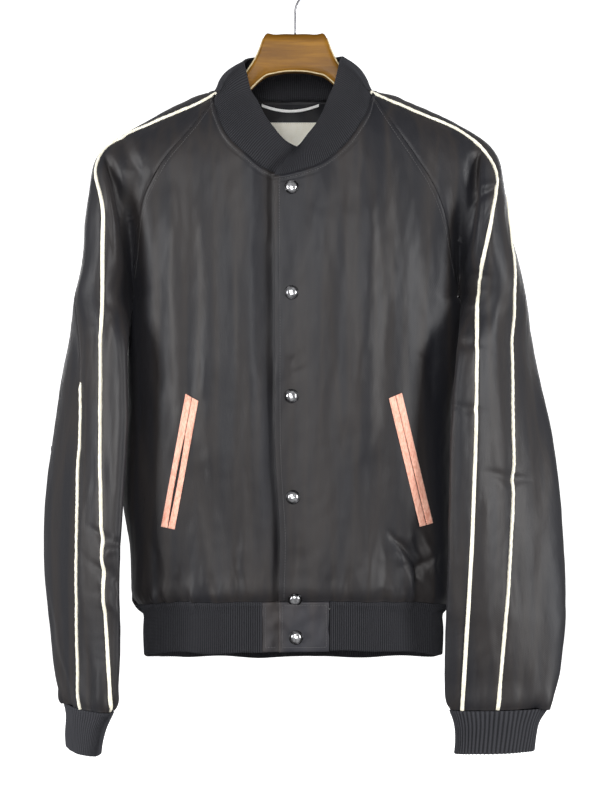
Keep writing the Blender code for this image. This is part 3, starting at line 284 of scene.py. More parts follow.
# The hanger, outward from its middle: top, bottom, half its thickness and its squareness.
HANGER = Table(("x", "top", "bottom", "half", "power"), [
    (0, -84, -128, 11, 6), (16, -83.9, -129, 11, 6), (28, -83.7, -131.5, 11, 6),
    (34.5, -84.4, -133.5, 11, 6), (37.5, -90, -135.5, 11, 6), (40, -97, -137.5, 11, 5),
    (44, -107, -141, 11, 4.5), (52, -121, -149, 11, 4), (64, -137, -159, 12, 3.4),
    (80, -151, -171, 13.5, 3), (95, -157, -180, 15.5, 2.6), (130, -168.2, -193, 19, 2.3),
    (170, -188.4, -213, 21, 2.2), (206, -211, -232, 21, 2.2), (214, -219, -233, 17, 2.2),
])
HANGER_BOW = 12.0       # how far forward its arms curve at half its width
HANGER_HALF = 215.0
WIRE_RADIUS = 1.2
HOOK_RADIUS = 19.0      # inside the hook's bow


# Large folds, each a soft trough from one place to another: the face it lies on, its ends as X and Z,
# its half width, and its depth, which is negative for a ridge.
FOLD_COLUMNS = ("face", "x_start", "z_start", "x_end", "z_end", "width", "depth")
FOLD_ROWS = {
    FRONT: [
        (121, -229, 149, -397, 20, 4.0), (26, -292, 6, -364, 16, 2.5), (-146, -285, -154, -482, 18, 3.5),
        (-82, -330, -92, -470, 26, -2.5), (-36, -340, -34, -467, 14, 2.5), (62, -310, 66, -523, 24, -3.0),
        (92, -590, 112, -690, 18, 3.0), (-92, -600, -70, -700, 20, 2.5),
    ],
    BACK: [
        (-92, -250, -66, -560, 26, 4.0), (88, -240, 60, -520, 24, 4.5), (4, -420, -8, -690, 30, -3.5),
        (-120, -600, -96, -700, 20, 3.0), (110, -590, 126, -705, 20, 3.0),
    ],
}
FOLDS = [dict(zip(FOLD_COLUMNS, (face, *row))) for face, rows in FOLD_ROWS.items() for row in rows]

# Creases that are too small for the solids: the part and face they lie on, their ends as X and Z, how far
# the middle bows sideways, their half width, and their depth, which is negative for a ridge.
CREASE_COLUMNS = ("part", "face", "x_start", "z_start", "x_end", "z_end", "bow", "width", "depth")
CREASE_ROWS = {
    ("torso", FRONT): [
        # the wearer's right front
        (-180, -330, -177, -540, 4, 8, 1.6), (-120, -300, -118, -500, -5, 11, 1.6),
        (-136, -330, -131, -520, 3, 9, -1.4), (-60, -320, -66, -560, 4, 10, 1.5),
        (-103, -470, -96, -590, 3, 8, -1.3), (-52, -600, -46, -715, -3, 8, 1.7),
        (-110, -640, -92, -735, 5, 9, -1.6), (-157, -690, -146, -742, 3, 7, 2.0),
        (-132, -708, -134, -742, 2, 5, 2.0), (-96, -716, -97, -744, 2, 5, 1.8),
        (-68, -702, -66, -742, -2, 5, 1.8), (-56, -672, -54, -722, 2, 6, -1.3),
        (-84, -722, -85, -744, 1, 5, -1.5), (-114, -722, -115, -744, 1, 5, -1.5),
        # the wearer's left front
        (59, -298, 42, -520, -5, 9, 1.6), (86, -300, 70, -480, -4, 9, -1.7),
        (104, -420, 101, -560, 3, 9, 1.5), (160, -440, 158, -500, 2, 6, 1.6),
        (150, -462, 172, -470, 2, 4, 1.4), (2, -462, -6, -474, 2, 4, 1.2), (3, -478, -7, -484, 1, 4, 1.0),
        (3, -676, 1, -702, 1, 6, 1.5), (113, -668, 141, -711, -5, 4, 4.4),
        (141, -711, 153, -694, -4, 4, 3.8), (122, -700, 132, -726, -2, 6, -3.2),
        (119, -680, 131, -696, 2, 5, -2.8), (150, -674, 158, -700, -2, 5, -3.2),
        (138, -664, 146, -686, 2, 5, 2.4), (104, -690, 112, -722, 2, 6, 1.8),
        (44, -706, 43, -742, 2, 5, 2.0), (64, -712, 64, -742, 1, 5, 1.8), (101, -722, 102, -744, 1, 5, 2.0),
        (138, -720, 139, -744, 1, 5, 1.8), (54, -716, 53, -744, 1, 5, -1.4),
        (84, -700, 80, -742, 2, 7, -1.8), (120, -728, 121, -746, 1, 5, -1.5),
        (90, -560, 84, -660, 3, 9, 1.6),
    ],
    ("torso", BACK): [
        (-130, -330, -112, -560, 6, 12, 2.2), (-48, -300, -44, -520, -6, 11, -1.8),
        (36, -320, 30, -600, 5, 12, 2.0), (120, -340, 108, -540, -6, 11, 2.2),
        (78, -620, 74, -735, 3, 9, 2.0), (-60, -640, -52, -745, 3, 9, 2.0),
        (-152, -650, -140, -750, 3, 9, 2.2), (150, -640, 142, -748, -3, 9, 2.2),
        (-100, -715, -99, -756, 1, 6, 2.0), (-28, -722, -28, -760, 1, 6, 1.8),
        (22, -718, 23, -760, 1, 6, 2.0), (52, -724, 52, -760, 1, 6, -1.6),
        (104, -720, 105, -756, 1, 6, 2.0), (-78, -724, -78, -758, 1, 6, -1.6),
    ],
    ("sleeve", FRONT): [
        # the sleeves at the shoulder points
        (-198, -212, -180, -246, 4, 7, 1.8), (-182, -214, -166, -244, 3, 7, -1.6),
        (222, -272, 208, -282, 2, 4, 2.4), (224, -264, 210, -272, 2, 4, -1.6),
        # the wearer's right sleeve, at the photo's left
        (-222, -660, -199, -672, 3, 6, 2.2), (-212, -684, -204, -668, 2, 5, -1.6),
        (-222, -700, -200, -716, -3, 6, 2.0), (-214, -725, -203, -745, 3, 6, -1.6),
        (-286, -762, -272, -820, 4, 6, 2.6), (-276, -770, -262, -826, 4, 6, -1.8),
        (-262, -420, -246, -560, -4, 8, 1.8), (-212, -420, -208, -600, 3, 8, 1.7),
        (-250, -590, -240, -740, 4, 8, -1.8), (-236, -800, -234, -858, 1, 5, 1.8),
        (-222, -820, -221, -860, 1, 4, -1.4), (-250, -822, -247, -860, 1, 5, -1.6),
        # the wearer's left sleeve
        (186, -362, 208, -368, 2, 5, 1.6), (184, -384, 207, -386, 2, 4, 1.5),
        (184, -400, 206, -402, 1, 4, -1.4), (182, -444, 204, -446, 2, 5, 1.6),
        (182, -516, 203, -520, 2, 5, 1.6), (230, -594, 262, -600, 3, 6, 2.0),
        (252, -610, 256, -740, 3, 8, 1.9), (228, -420, 236, -600, 4, 9, -1.6),
        (280, -430, 286, -620, -4, 9, 1.8), (216, -640, 222, -800, 4, 9, -1.7),
        (286, -680, 282, -820, 3, 8, 1.8), (208, -816, 209, -860, 1, 5, 1.8),
        (238, -822, 239, -860, 1, 5, 1.6), (262, -818, 261, -860, 1, 5, 1.7),
    ],
    ("sleeve", BACK): [
        (-236, -300, -206, -322, -4, 9, 2.2), (-240, -420, -226, -620, 4, 10, 2.2),
        (-262, -640, -250, -800, -4, 9, 2.0), (-246, -815, -245, -860, 1, 6, 1.8),
        (236, -296, 204, -318, 4, 9, 2.2), (232, -430, 226, -640, -4, 10, 2.2),
        (262, -620, 256, -800, 4, 9, 2.0), (240, -815, 240, -860, 1, 6, 1.8),
    ],
}
CREASES = [dict(zip(CREASE_COLUMNS, (*key, *row))) for key, rows in CREASE_ROWS.items() for row in rows]

# The lip of each sleeve's deep fold, which starts at the shoulder point and ends at the underarm: how far
# from the middle it lies, how far the cloth behind it falls, and how wide the valley is.
LIPS = side_tables(("z", "x", "fall", "reach"), [
    (-226, 221, 0, 6), (-239, 218, 7, 8), (-254, 214, 13, 10), (-269, 210, 17, 12), (-290, 205, 19, 12),
    (-309, 201, 18, 11), (-334, 197, 15, 9), (-358, 194, 9, 7), (-392, 192, 0, 7),
], [
    (-224, 214, 0, 6), (-238, 212, 10, 8), (-256, 211, 15, 10), (-277, 210, 17, 10), (-296, 208, 18, 11),
    (-315, 205, 19, 11), (-340, 200, 17, 10), (-366, 195, 11, 8), (-392, 192, 0, 7),
])


# ---- the form -----------------------------------------------------------------------------------
def beside_run(row, x, z):
    """Where places lie by a fold or a crease: their share of its length, and how far beside and past it."""
    run_x, run_z = row["x_end"] - row["x_start"], row["z_end"] - row["z_start"]
    length = np.hypot(run_x, run_z)
    along = ((x - row["x_start"]) * run_x + (z - row["z_start"]) * run_z) / length
    across = ((x - row["x_start"]) * run_z - (z - row["z_start"]) * run_x) / length
    return np.clip(along / length, 0, 1), across, np.maximum(np.maximum(-along, along - length), 0)


def fold_depth(face, x, z):
    """How far the large folds press the cloth in at places on one face."""
    depth = np.zeros(np.broadcast(x, z).shape)
    for fold in FOLDS:
        if fold["face"] != face:
            continue
        _, across, past = beside_run(fold, x, z)
        depth = depth + fold["depth"] * np.exp(-(across ** 2 + past ** 2) / fold["width"] ** 2)
    return depth


def torso_reach(side, face, out, z):
    """How far the torso's oval reaches from Y = 0 towards a face, negative past its side."""
    rest = 1 - (np.abs(out) / SIDE[side].at("torso", z)) ** TORSO.at("power", z)
    reach = TORSO.at("front" if face == FRONT else "back", z)
    return reach * np.sign(rest) * np.abs(rest) ** (1 / TORSO.at("power", z))


def sleeve_reach(side, face, out, z):
    """How far the sleeve's oval reaches from Y = 0 towards a face, negative past its edges."""
    row = SIDE[side]
    half = (row.at("tip", z) - row.at("inner", z)) / 2
    across = (out - row.at("inner", z)) / half - 1
    rest = 1 - across ** 2
    swing = row.at("middle", z) + row.at("lean", z) * across
    return row.at("deep", z) * np.sign(rest) * np.sqrt(np.abs(rest)) + face * swing


def joined_reach(side, face, out, z):
    """The torso and the sleeve as one outline, with a soft valley between them."""
    torso = torso_reach(side, face, out, z)
    sleeve = sleeve_reach(side, face, out, z)
    soft = TORSO.at("soft", z) * np.clip((SIDE[side].at("tip", z) - out) / 40, 0, 1)
    joined = (torso + sleeve + np.sqrt((torso - sleeve) ** 2 + soft ** 2)) / 2
    edge = np.minimum((SIDE[side].at("tip", z) - out) / 4, 1)
    return np.maximum(joined, VALLEY_LEAST * edge)


class Outline:
    """One level's outline on one side, as points from its first front point round to its last back one."""

    CENTRE_START = -46.0
    SAMPLES = 260
    TURN_WEIGHT = 28.0      # millimetres of way that a turn of one radian counts for

    def __init__(self, side, z, piece):
        self.front_out = self.spread(side, z, piece)
        reach = {"joined": joined_reach, "torso": torso_reach, "sleeve": sleeve_reach}[piece]
        front_y = FRONT * reach(side, FRONT, self.front_out, z)
        back_y = BACK * reach(side, BACK, self.front_out, z)
        turn_weight = 0.0 if piece == "torso" else self.TURN_WEIGHT
        if piece != "sleeve":
            front_y = front_y + fold_depth(FRONT, side * self.front_out, z)
            back_y = back_y - fold_depth(BACK, side * self.front_out, z)
        self.out = np.concatenate([self.front_out, self.front_out[::-1]])
        bow = BOW.at("bow", z) * (self.out / self.out.max()) ** 2
        self.y = np.concatenate([front_y, back_y[::-1]]) - bow
        run, rise = np.diff(self.out), np.diff(self.y)
        steps = np.hypot(run, rise)
        heading = np.unwrap(np.arctan2(rise, run))
        turns = np.maximum(np.diff(heading, prepend=heading[0]), 0)
        turns[self.out[1:] < SIDE[side].at("inner", z)] = 0
        self.way = np.concatenate([[0], np.cumsum(steps)])
        self.pace = np.concatenate([[0], np.cumsum(steps + turn_weight * turns)])
        self.length = self.way[-1]

    def spread(self, side, z, piece):
        """Outward distances that lie close together where the outline turns."""
        row = SIDE[side]
        share = np.linspace(0, 1, self.SAMPLES)
        if piece == "sleeve":
            inner, tip = row.at("inner", z), row.at("tip", z)
            return inner + (tip - inner) * (1 - np.cos(np.pi * share)) / 2
        edge = row.at("tip" if piece == "joined" else "torso", z)
        places = edge - (edge - self.CENTRE_START) * (1 - share) ** 2
        if piece == "joined":
            valley = (row.at("torso", z) + row.at("inner", z)) / 2
            near = valley + 26 * np.linspace(-1, 1, 80) ** 3
            places = np.union1d(places, near[near < edge - 1])
        return places

    def way_at(self, face, out):
        """Distance along the outline to a place given by its outward distance and face."""
        count = len(self.front_out)
        if face == FRONT:
            return np.interp(out, self.front_out, self.way[:count])
        return np.interp(out, self.front_out, self.way[count:][::-1])

    def paced(self, way):
        """Pace at a way, also past the ends of a closed outline."""
        rounds = np.floor(way / self.length)
        return rounds * self.pace[-1] + np.interp(way - rounds * self.length, self.way, self.pace)

    def place(self, first, last, shares, closed):
        """Points at shares of the pace from one way to another, which put more points in tight turns."""
        if not closed:
            start, end = np.interp([first, last], self.way, self.pace)
            pace = start + (end - start) * shares
        else:
            start, end = self.paced(first), self.paced(last)
            pace = np.mod(start + (end - start) * shares, self.pace[-1])
        return np.interp(pace, self.pace, self.out), np.interp(pace, self.pace, self.y)


# ---- panels -------------------------------------------------------------------------------------
def sleeve_seam(z):
    """Way of the underarm seam on a separate sleeve, which turns from its inner edge to the back."""
    return -SLEEVE_SEAM_TURN * ease((UNDERARM - z) / 200.0)


def panel_ends(side, panel, z):
    """The outline that a panel lies on at one level, with its first and last way along it."""
    joined = z > UNDERARM
    seam = SEAM[side]
    if panel in ("front", "back"):
        outline = Outline(side, z, "joined" if joined else "torso")
        face = FRONT if panel == "front" else BACK
        edge = outline.way_at(face, seam.at("raglan_" + panel, z)) if joined else outline.length / 2
        if panel == "front":
            free = PLACKET.at("over", z) if side == LEFT else -PLACKET.at("under", z)
            return outline, outline.way_at(FRONT, free), edge
        return outline, edge, outline.way_at(BACK, 0.0)
    outline = Outline(side, z, "joined" if joined else "sleeve")
    seam_way = outline.way_at(FRONT, seam.at("piping", z))
    shift = SEAM_SHIFT[side]
    piping = seam_way - SHOULDER_FORWARD * ease((z + 222) / 40) + shift.at("front", z)
    strip_end = seam_way + seam.at("strip", z) + shift.at("back", z)
    if joined:
        first = outline.way_at(FRONT, seam.at("raglan_front", z))
        last = outline.way_at(BACK, seam.at("raglan_back", z))
    else:
        first = sleeve_seam(z)
        last = first + outline.length
    ends = {
        "sleeve_front": (first, piping),
        "sleeve_top": (piping, strip_end),
        "sleeve_back": (strip_end, last),
        "cuff": (0.0, outline.length),
    }
    return outline, *ends[panel]


class Strip:
    """A panel's columns from top to bottom: each keeps its share of the way between the two seams."""

    LEVELS = 90             # above the underarm, and as many below

    def __init__(self, side, panel, shares, bottom):
        above = np.linspace(NECK_TOP + 6, UNDERARM + 0.01, self.LEVELS)
        below = np.linspace(UNDERARM, bottom - 12, self.LEVELS)
        self.levels = np.concatenate([above, below])
        closed = panel not in ("front", "back")
        trim = 0.0 if panel == "cuff" else SEAM_GAP / 2
        rows = []
        for z in self.levels:
            outline, first, last = panel_ends(side, panel, z)
            rows.append(outline.place(first + trim, last - trim, shares, closed and z <= UNDERARM))
        self.x = side * np.array([row[0] for row in rows])
        self.y = np.array([row[1] for row in rows])

    def points(self, column, z):
        """Points of one column at heights."""
        x, y = (np.interp(z, self.levels[::-1], values[::-1, column]) for values in (self.x, self.y))
        return np.stack(np.broadcast_arrays(x, y, z), axis=-1)


# ---- relief: creases, drape, seam grooves and puckers --------------------------------------------
def ease(value):
    """A smooth step from 0 to 1."""
    value = np.clip(value, 0, 1)
    return value * value * (3 - 2 * value)


def bump(place, middle, width):
    """A soft bump of height 1 round a middle, which fades over its width on each side."""
    return np.exp(-((place - middle) / width) ** 2)


def crease_depth(part, grid, normal):
    """How far the creases press in at each point, from the face that each lies on."""
    x, z = grid[..., 0], grid[..., 2]
    depth = np.zeros(x.shape)
    seen = {face: ease(0.15 + 1.3 * normal[..., 1] * face) for face in (FRONT, BACK)}
    for crease in CREASES:
        if crease["part"] != part:
            continue
        share, across, past = beside_run(crease, x, z)
        across = across - crease["bow"] * 4 * share * (1 - share)
        width = crease["width"] * (0.7 + 0.6 * np.sin(np.pi * share))
        swell = 0.45 + 0.55 * np.sin(np.pi * (0.12 + 0.76 * share))
        lie = np.exp(-(across / width) ** 2 - (past / (2.2 * crease["width"])) ** 2) * swell
        depth += CREASE_GAIN * crease["depth"] * lie * seen[crease["face"]]
    return depth


def waves(grid, lengths, seed, count=28):
    """A smooth random field of unit strength whose waves have about these lengths along X, Y and Z."""
    chance = np.random.RandomState(seed)
    total = np.zeros(grid.shape[:-1])
    for _ in range(count):
        way = unit(chance.normal(size=3)) * chance.uniform(0.6, 1.4)
        phase = chance.uniform(0, 2 * np.pi)
        total += np.cos(2 * np.pi * (grid @ (way / np.array(lengths))) + phase)
    return total / np.sqrt(count / 2)


def way_along(line, axis=0):
    """Distance along a line of points, or along a grid's lines, from the first point."""
    steps = np.linalg.norm(np.diff(line, axis=axis), axis=-1)
    return np.concatenate([np.zeros_like(np.take(steps, [0], axis)), np.cumsum(steps, axis=axis)], axis=axis)


def at_ways(places, way, points):
    """Points of a line at distances along it."""
    return np.stack([np.interp(places, way, column) for column in points.T], axis=-1)


def circle(count):
    """Angles of places spread evenly round a circle."""
    return 2 * np.pi * np.arange(count) / count


def unit(vectors):
    """Vectors brought to a length of one."""
    return vectors / np.maximum(np.linalg.norm(vectors, axis=-1, keepdims=True), 1e-9)


def face_uv(across, along):
    """Cloth coordinates of a grid from its columns' and its rows' ways, in either order."""
    return np.stack(np.broadcast_arrays(across, along), axis=2).reshape(-1, 2)


def grid_normals(grid, sign):
    """Outward normals of a grid whose rows run down and whose columns run away from the centre."""
    return unit(np.cross(np.gradient(grid, axis=0), np.gradient(grid, axis=1)) * sign)


def soften(normal, times):
    """Normals evened out with their neighbours."""
    for _ in range(times):
        wide = np.pad(normal, ((1, 1), (1, 1), (0, 0)), "edge")
        normal = unit(wide[:-2, 1:-1] + wide[2:, 1:-1] + wide[1:-1, :-2] + wide[1:-1, 2:] + 2 * normal)
    return normal


def groove(distance):
    """The dip of a seam, with the slight swell of the layers beside it."""
    return SEAM_DIP * bump(distance, 0, SEAM_DIP_WIDTH) - SEAM_SWELL * bump(distance, 5, 3.5)


def pucker(distance, along, grid, seed, strength):
    """Short ripples that a seam gathers across itself."""
    wander = 3.0 * waves(grid, (60, 60, 60), seed)
    patchy = ease(0.5 + 0.6 * waves(grid, (90, 90, 70), seed + 1))
    ripple = np.cos(2 * np.pi * (along + wander) / PUCKER_STEP)
    return strength * ripple * patchy * np.exp(-distance / PUCKER_REACH)


# What each panel meets at its first and last column and at its bottom, as strengths of pucker.
PANEL_EDGES = {
    "front": (0.0, 0.18),
    "back": (0.18, 0.18),
    "sleeve_front": (0.18, 0.34),
    "sleeve_top": (0.26, 0.26),
    "sleeve_back": (0.3, 0.18),
}


def placket_depth(side, grid, first):
    """The over front's edge stands off, and the under front falls back along it, more in some places."""
    x, z = grid[..., 0], grid[..., 2]
    loose = 0.45 + 0.55 * bump(z, -488, 34) + 0.5 * bump(z, -678, 26) + 0.3 * bump(z, -380, 50)
    if side == LEFT:
        return -EDGE_STAND * loose * bump(first, 0, EDGE_REACH) + 0.3 * bump(first, EDGE_STITCH, 1.2)
    return UNDER_FALL * loose * bump(x - PLACKET.at("over", z), -1.5, 4.5)


def lip_fall(side, grid):
    """How far back the cloth falls behind the lip of a sleeve's deep fold, short of the sleeve's back."""
    x, y, z = np.abs(grid[..., 0]), grid[..., 1], grid[..., 2]
    inward = LIPS[side].at("x", z) - x
    fall = np.maximum(LIPS[side].at("fall", z), 0) * ease((z - UNDERARM) / 14)
    valley = ease(inward / 4 + 0.4) * bump(np.maximum(inward - 4, 0), 0, LIPS[side].at("reach", z))
    middle = -BOW.at("bow", z) * (x / SIDE[side].at("tip", z)) ** 2
    room = np.maximum(middle - 4.0 - y, 0)
    fall = fall * (valley - 0.14 * bump(inward, -5, 4.5))
    return np.where(fall > 0, room * (1 - np.exp(-fall / np.maximum(room, 0.01))), fall)


def swell_sides(side, grid):
    """The torso's sides swell out below the underarm until they touch the sleeves, seen from the front."""
    z = grid[..., 2]
    swell = np.maximum(SIDE_SWELL.at(side, z), 0)
    short = SIDE[side].at("torso", z) - np.abs(grid[..., 0])
    grid[..., 0] += side * swell * bump(short, 0, 20) * (z < UNDERARM)


def add_relief(side, name, grid, normal):
    """The grid with its folds, moved along its normals."""
    part = "torso" if name in ("front", "back") else "sleeve"
    depth = crease_depth(part, grid, normal)
    steep = 1 - 0.75 * ease(1.4 * normal[..., 2])
    depth += steep * (1.1 * waves(grid, (66, 66, 520), 11) + 0.2 * waves(grid, (28, 28, 170), 12))
    depth += 0.12 * waves(grid, (13, 13, 26), 13)
    across, down = way_along(grid, 1), way_along(grid, 0)
    first, last = across, across[:, -1:] - across
    top, bottom = down, down[-1:] - down
    start, end = PANEL_EDGES[name]
    if name == "front":
        depth += placket_depth(side, grid, first)
    else:
        depth += groove(first)
    if name == "back":
        depth += RAGLAN_DIP * bump(first, RAGLAN_STITCH, STITCH_DIP_WIDTH)
    if part == "torso":
        depth += RAGLAN_DIP * bump(last, RAGLAN_STITCH, STITCH_DIP_WIDTH)
    depth += groove(last) + groove(top)
    depth += NECK_DIP * bump(top - NECK_STITCH, 0.4, STITCH_DIP_WIDTH)
    depth -= NECK_ROLL * bump(top, NECK_STITCH / 2, 2.2)
    depth += pucker(first, down, grid, 21, start) + pucker(last, down, grid, 23, end)
    tuck = HEM_TUCK if part == "torso" else CUFF_TUCK
    depth += tuck * (bump(bottom, 0, 5) - 0.45 * bump(bottom, 15, 9))
    gather = ease(0.35 + 0.8 * waves(grid, (120, 120, 900), 33))
    depth += HEM_GATHER * gather * waves(grid, (24, 24, 300), 31) * bump(bottom, 0, HEM_GATHER_REACH)
    depth += FINE_GATHER * gather * waves(grid, (9, 9, 120), 32) * bump(bottom, 0, FINE_GATHER_REACH)
    made = grid - normal * depth[..., None]
    if name == "sleeve_front":
        made[..., 1] += lip_fall(side, grid)
    return made


# ---- panels at a fine step ---------------------------------------------------------------------
def graded(length, fine_first=True, fine_last=True):
    """Shares along a length, closer together towards its seams."""
    steps = [0.0]
    while steps[-1] < length:
        place = steps[-1]
        near = min(place if fine_first else length, length - place if fine_last else length)
        steps.append(place + min(GRID_STEP, SEAM_STEP + 0.24 * near))
    return np.array(steps) / steps[-1]


def surface_rows(strip, top, bottom):
    """Shares of the height from top to bottom that step evenly along the middle column's own surface."""
    column = strip.x.shape[1] // 2
    z = np.linspace(top, bottom, 1200)
    way = way_along(strip.points(column, z))
    fine_first, fine_last = top > UNDERARM, bottom < UNDERARM
    places = graded(way[-1], fine_first, fine_last) * way[-1]
    return (np.interp(places, way, z) - top) / (bottom - top)


def neck_start(strip, column, side):
    """Level where a column of a front panel meets the neck seam."""
    levels = np.arange(NECK_FRONT[side], NECK.key[0], -0.1)
    ahead = side * strip.points(column, levels)[:, 0] - NECK.at(side, levels)
    crossed = np.nonzero(ahead >= 0)[0]
    return levels[crossed[0]] if len(crossed) else levels[-1]


PANEL_WIDTH = {"front": 240, "back": 200, "sleeve_front": 105, "sleeve_top": 50, "sleeve_back": 130}


def panel_form(side, panel):
    """A panel's grid on the smooth form, from the neck seam to the hem or cuff."""
    torso = panel in ("front", "back")
    shares = graded(PANEL_WIDTH[panel], fine_last=panel != "back")
    strip = Strip(side, panel, shares, HEM_SEAM - 20 if torso else SLEEVE_END)
    count = len(shares)
    if panel == "front":
        top = np.array([neck_start(strip, j, side) for j in range(count)])
    elif panel == "sleeve_front":
        top = NECK_FRONT[side] + (NECK_PIPING - NECK_FRONT[side]) * shares
    elif panel == "sleeve_top":
        top = NECK_PIPING + (NECK_TOP - NECK_PIPING) * shares
    else:
        top = np.full(count, NECK_TOP)
    if torso:
        bottom = np.array([HEM_SEAM - HEM_SLOPE * strip.points(j, HEM_SEAM)[1] for j in range(count)])
    else:
        bottom = np.full(count, SLEEVE_END)
    upper = surface_rows(strip, top[count // 2], UNDERARM)
    lower = surface_rows(strip, UNDERARM - 0.01, bottom[count // 2])[1:]
    heights = [top + (UNDERARM - top) * step for step in upper]
    heights += [UNDERARM + (bottom - UNDERARM) * step for step in lower]
    heights = np.array(heights)
    return np.stack([strip.points(j, heights[:, j]) for j in range(count)], axis=1)


class Panel:
    """A finished panel: its outer grid with folds, and its normals."""

    def __init__(self, side, name, form):
        self.side, self.name = side, name
        smooth = soften(grid_normals(form, side), 6)
        self.grid = add_relief(side, name, form, smooth)
        self.normal = grid_normals(self.grid, side)

    def line(self, first=None, last=None, top=None, bottom=None):
        """Points and normals of the line that keeps one distance from an edge."""
        grid, normal = self.grid, self.normal
        if top is not None or bottom is not None:
            grid, normal = grid.transpose(1, 0, 2), normal.transpose(1, 0, 2)
        across = way_along(grid, 1)
        near = first if first is not None else top
        points, normals = [], []
        for i in range(len(grid)):
            place = near if near is not None else across[i, -1] - (last if last is not None else bottom)
            points.append(at_ways(place, across[i], grid[i]))
            normals.append(at_ways(place, across[i], normal[i]))
        return np.array(points), np.array(normals)


def make_panels():
    """Every panel of cloth, by its side and name."""
    panels = {}
    for side in (LEFT, RIGHT):
        for name in ("front", "sleeve_front", "sleeve_top", "sleeve_back"):
            form = panel_form(side, name)
            if name == "front":
                swell_sides(side, form)
            if (side, name) == (RIGHT, "front"):
                form[..., 1] += UNDERLAP_DEPTH * np.clip((form[..., 0] + 48) / 18, 0, 1)
            panels[side, name] = Panel(side, name, form)
    right, left = panel_form(RIGHT, "back"), panel_form(LEFT, "back")
    swell_sides(RIGHT, right)
    swell_sides(LEFT, left)
    middle = (right[:, -1:] + left[:, -1:]) / 2
    whole = np.concatenate([right[:, :-1], middle, left[:, -2::-1]], axis=1)
    panels["back"] = Panel(RIGHT, "back", whole)
    return panels


# ---- meshes --------------------------------------------------------------------------------------
def add_object(name, data):
    """An object in the scene."""
    made = bpy.data.objects.new(name, data)
    bpy.context.scene.collection.objects.link(made)
    return made


def add_mesh(name, points, faces, finish):
    """A smooth mesh from points in metres, as an object."""
    mesh = bpy.data.meshes.new(name)
    mesh.from_pydata(points, [], faces)
    mesh.update()
    mesh.shade_smooth()
    mesh.materials.append(finish)
    return add_object(name, mesh)


def add_piece(name, points, faces, finish, nodes=(), cloth_uv=None):
    """A piece of the visual model from points in millimetres."""
    made = add_mesh(name, (np.asarray(points) * MM).tolist(), faces, finish)
    if cloth_uv is not None:
        corner = np.zeros(len(made.data.loops), int)
        made.data.loops.foreach_get("vertex_index", corner)
        layer = made.data.uv_layers.new(name="cloth")
        layer.data.foreach_set("uv", (np.asarray(cloth_uv)[corner] * MM).ravel())
    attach(made, BODY)
    if nodes:
        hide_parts(*nodes)
    return made


def grid_quads(rows, columns, ring=False):
    """Quads of a grid of points, as an array."""
    last = columns if ring else columns - 1
    i, j = np.meshgrid(np.arange(rows - 1), np.arange(last), indexing="ij")
    a = (i * columns + j).ravel()
    b = (i * columns + (j + 1) % columns).ravel()
    return np.column_stack([a, b, b + columns, a + columns])


def wall_quads(rows, columns, ring=False):
    """Quads of a closed wall: an outer grid, an inner one and the rims between them."""
    inner = rows * columns
    outer_quads = grid_quads(rows, columns, ring)
    inner_quads = grid_quads(rows, columns, ring)[:, ::-1] + inner
    last = columns if ring else columns - 1
    j = np.arange(last)
    k = (j + 1) % columns
    low = (rows - 1) * columns
    rims = [np.column_stack([k, j, j + inner, k + inner])]
    rims.append(np.column_stack([j + low, k + low, k + low + inner, j + low + inner]))
    if not ring:
        i = np.arange(rows - 1) * columns
        rims.append(np.column_stack([i, i + columns, i + columns + inner, i + inner]))
        i = i + columns - 1
        rims.append(np.column_stack([i + columns, i, i + inner, i + columns + inner]))
    return np.concatenate([outer_quads, inner_quads, *rims])


def add_wall(name, grid, normal, wall, finish, nodes=(), flip=False, ring=False):
    """A wall of cloth whose outer side is a grid."""
    rows, columns = grid.shape[:2]
    points = np.concatenate([grid.reshape(-1, 3), (grid - normal * wall).reshape(-1, 3)])
    quads = wall_quads(rows, columns, ring)
    if flip:
        quads = quads[:, ::-1]
    uv = face_uv(way_along(grid, 1), -way_along(grid, 0))
    return add_piece(name, points, quads.tolist(), finish, nodes, np.concatenate([uv, uv]))


def add_tube(name, line, normal, section, finish, nodes=(), swell=None):
    """A closed band along a line; the section's points are across and up from it."""
    across = unit(np.cross(np.gradient(line, axis=0), normal))
    swell = np.ones(len(line)) if swell is None else swell
    section = np.array(section, float)
    rings = line[:, None] + across[:, None] * section[None, :, :1] * swell[:, None, None]
    rings = rings + normal[:, None] * section[None, :, 1:] * swell[:, None, None]
    rows, columns = rings.shape[:2]
    faces = grid_quads(rows, columns, ring=True)[:, ::-1].tolist()
    faces.append(list(range(columns)))
    faces.append(list(range(rows * columns - 1, (rows - 1) * columns - 1, -1)))
    uv = face_uv(way_along(section)[None], way_along(line)[:, None])
    return add_piece(name, rings.reshape(-1, 3), faces, finish, nodes, uv)


def resample(line, normal, step, start=0.0, end=0.0):
    """The line at even steps, with its normals."""
    way = way_along(line)
    places = np.arange(start, way[-1] - end, step)
    return at_ways(places, way, line), unit(at_ways(places, way, normal))


# ---- cloth pieces --------------------------------------------------------------------------------
NODE_NAMES = {"front": "front_{0}", "sleeve_front": "sleeve_{0}_front", "sleeve_top": "sleeve_{0}_top",
              "sleeve_back": "sleeve_{0}_back"}
LABELS = {LEFT: "left", RIGHT: "right"}


def make_cloth(panels, looks):
    """The shells of the fronts, the back and the sleeves."""
    made = {}
    for key, panel in panels.items():
        wall = np.full(panel.grid.shape[:2] + (1,), CLOTH_WALL)
        if panel.name == "front":
            first = way_along(panel.grid, 1)[..., None]
            wall += EDGE_EXTRA * bump(first, 0, EDGE_REACH)
        node = "back" if key == "back" else NODE_NAMES[panel.name].format(LABELS[panel.side])
        made[key] = add_wall(f"{node}_cloth", panel.grid, panel.normal, wall, looks["satin"],
                             (node,), flip=panel.side == LEFT)
    return made


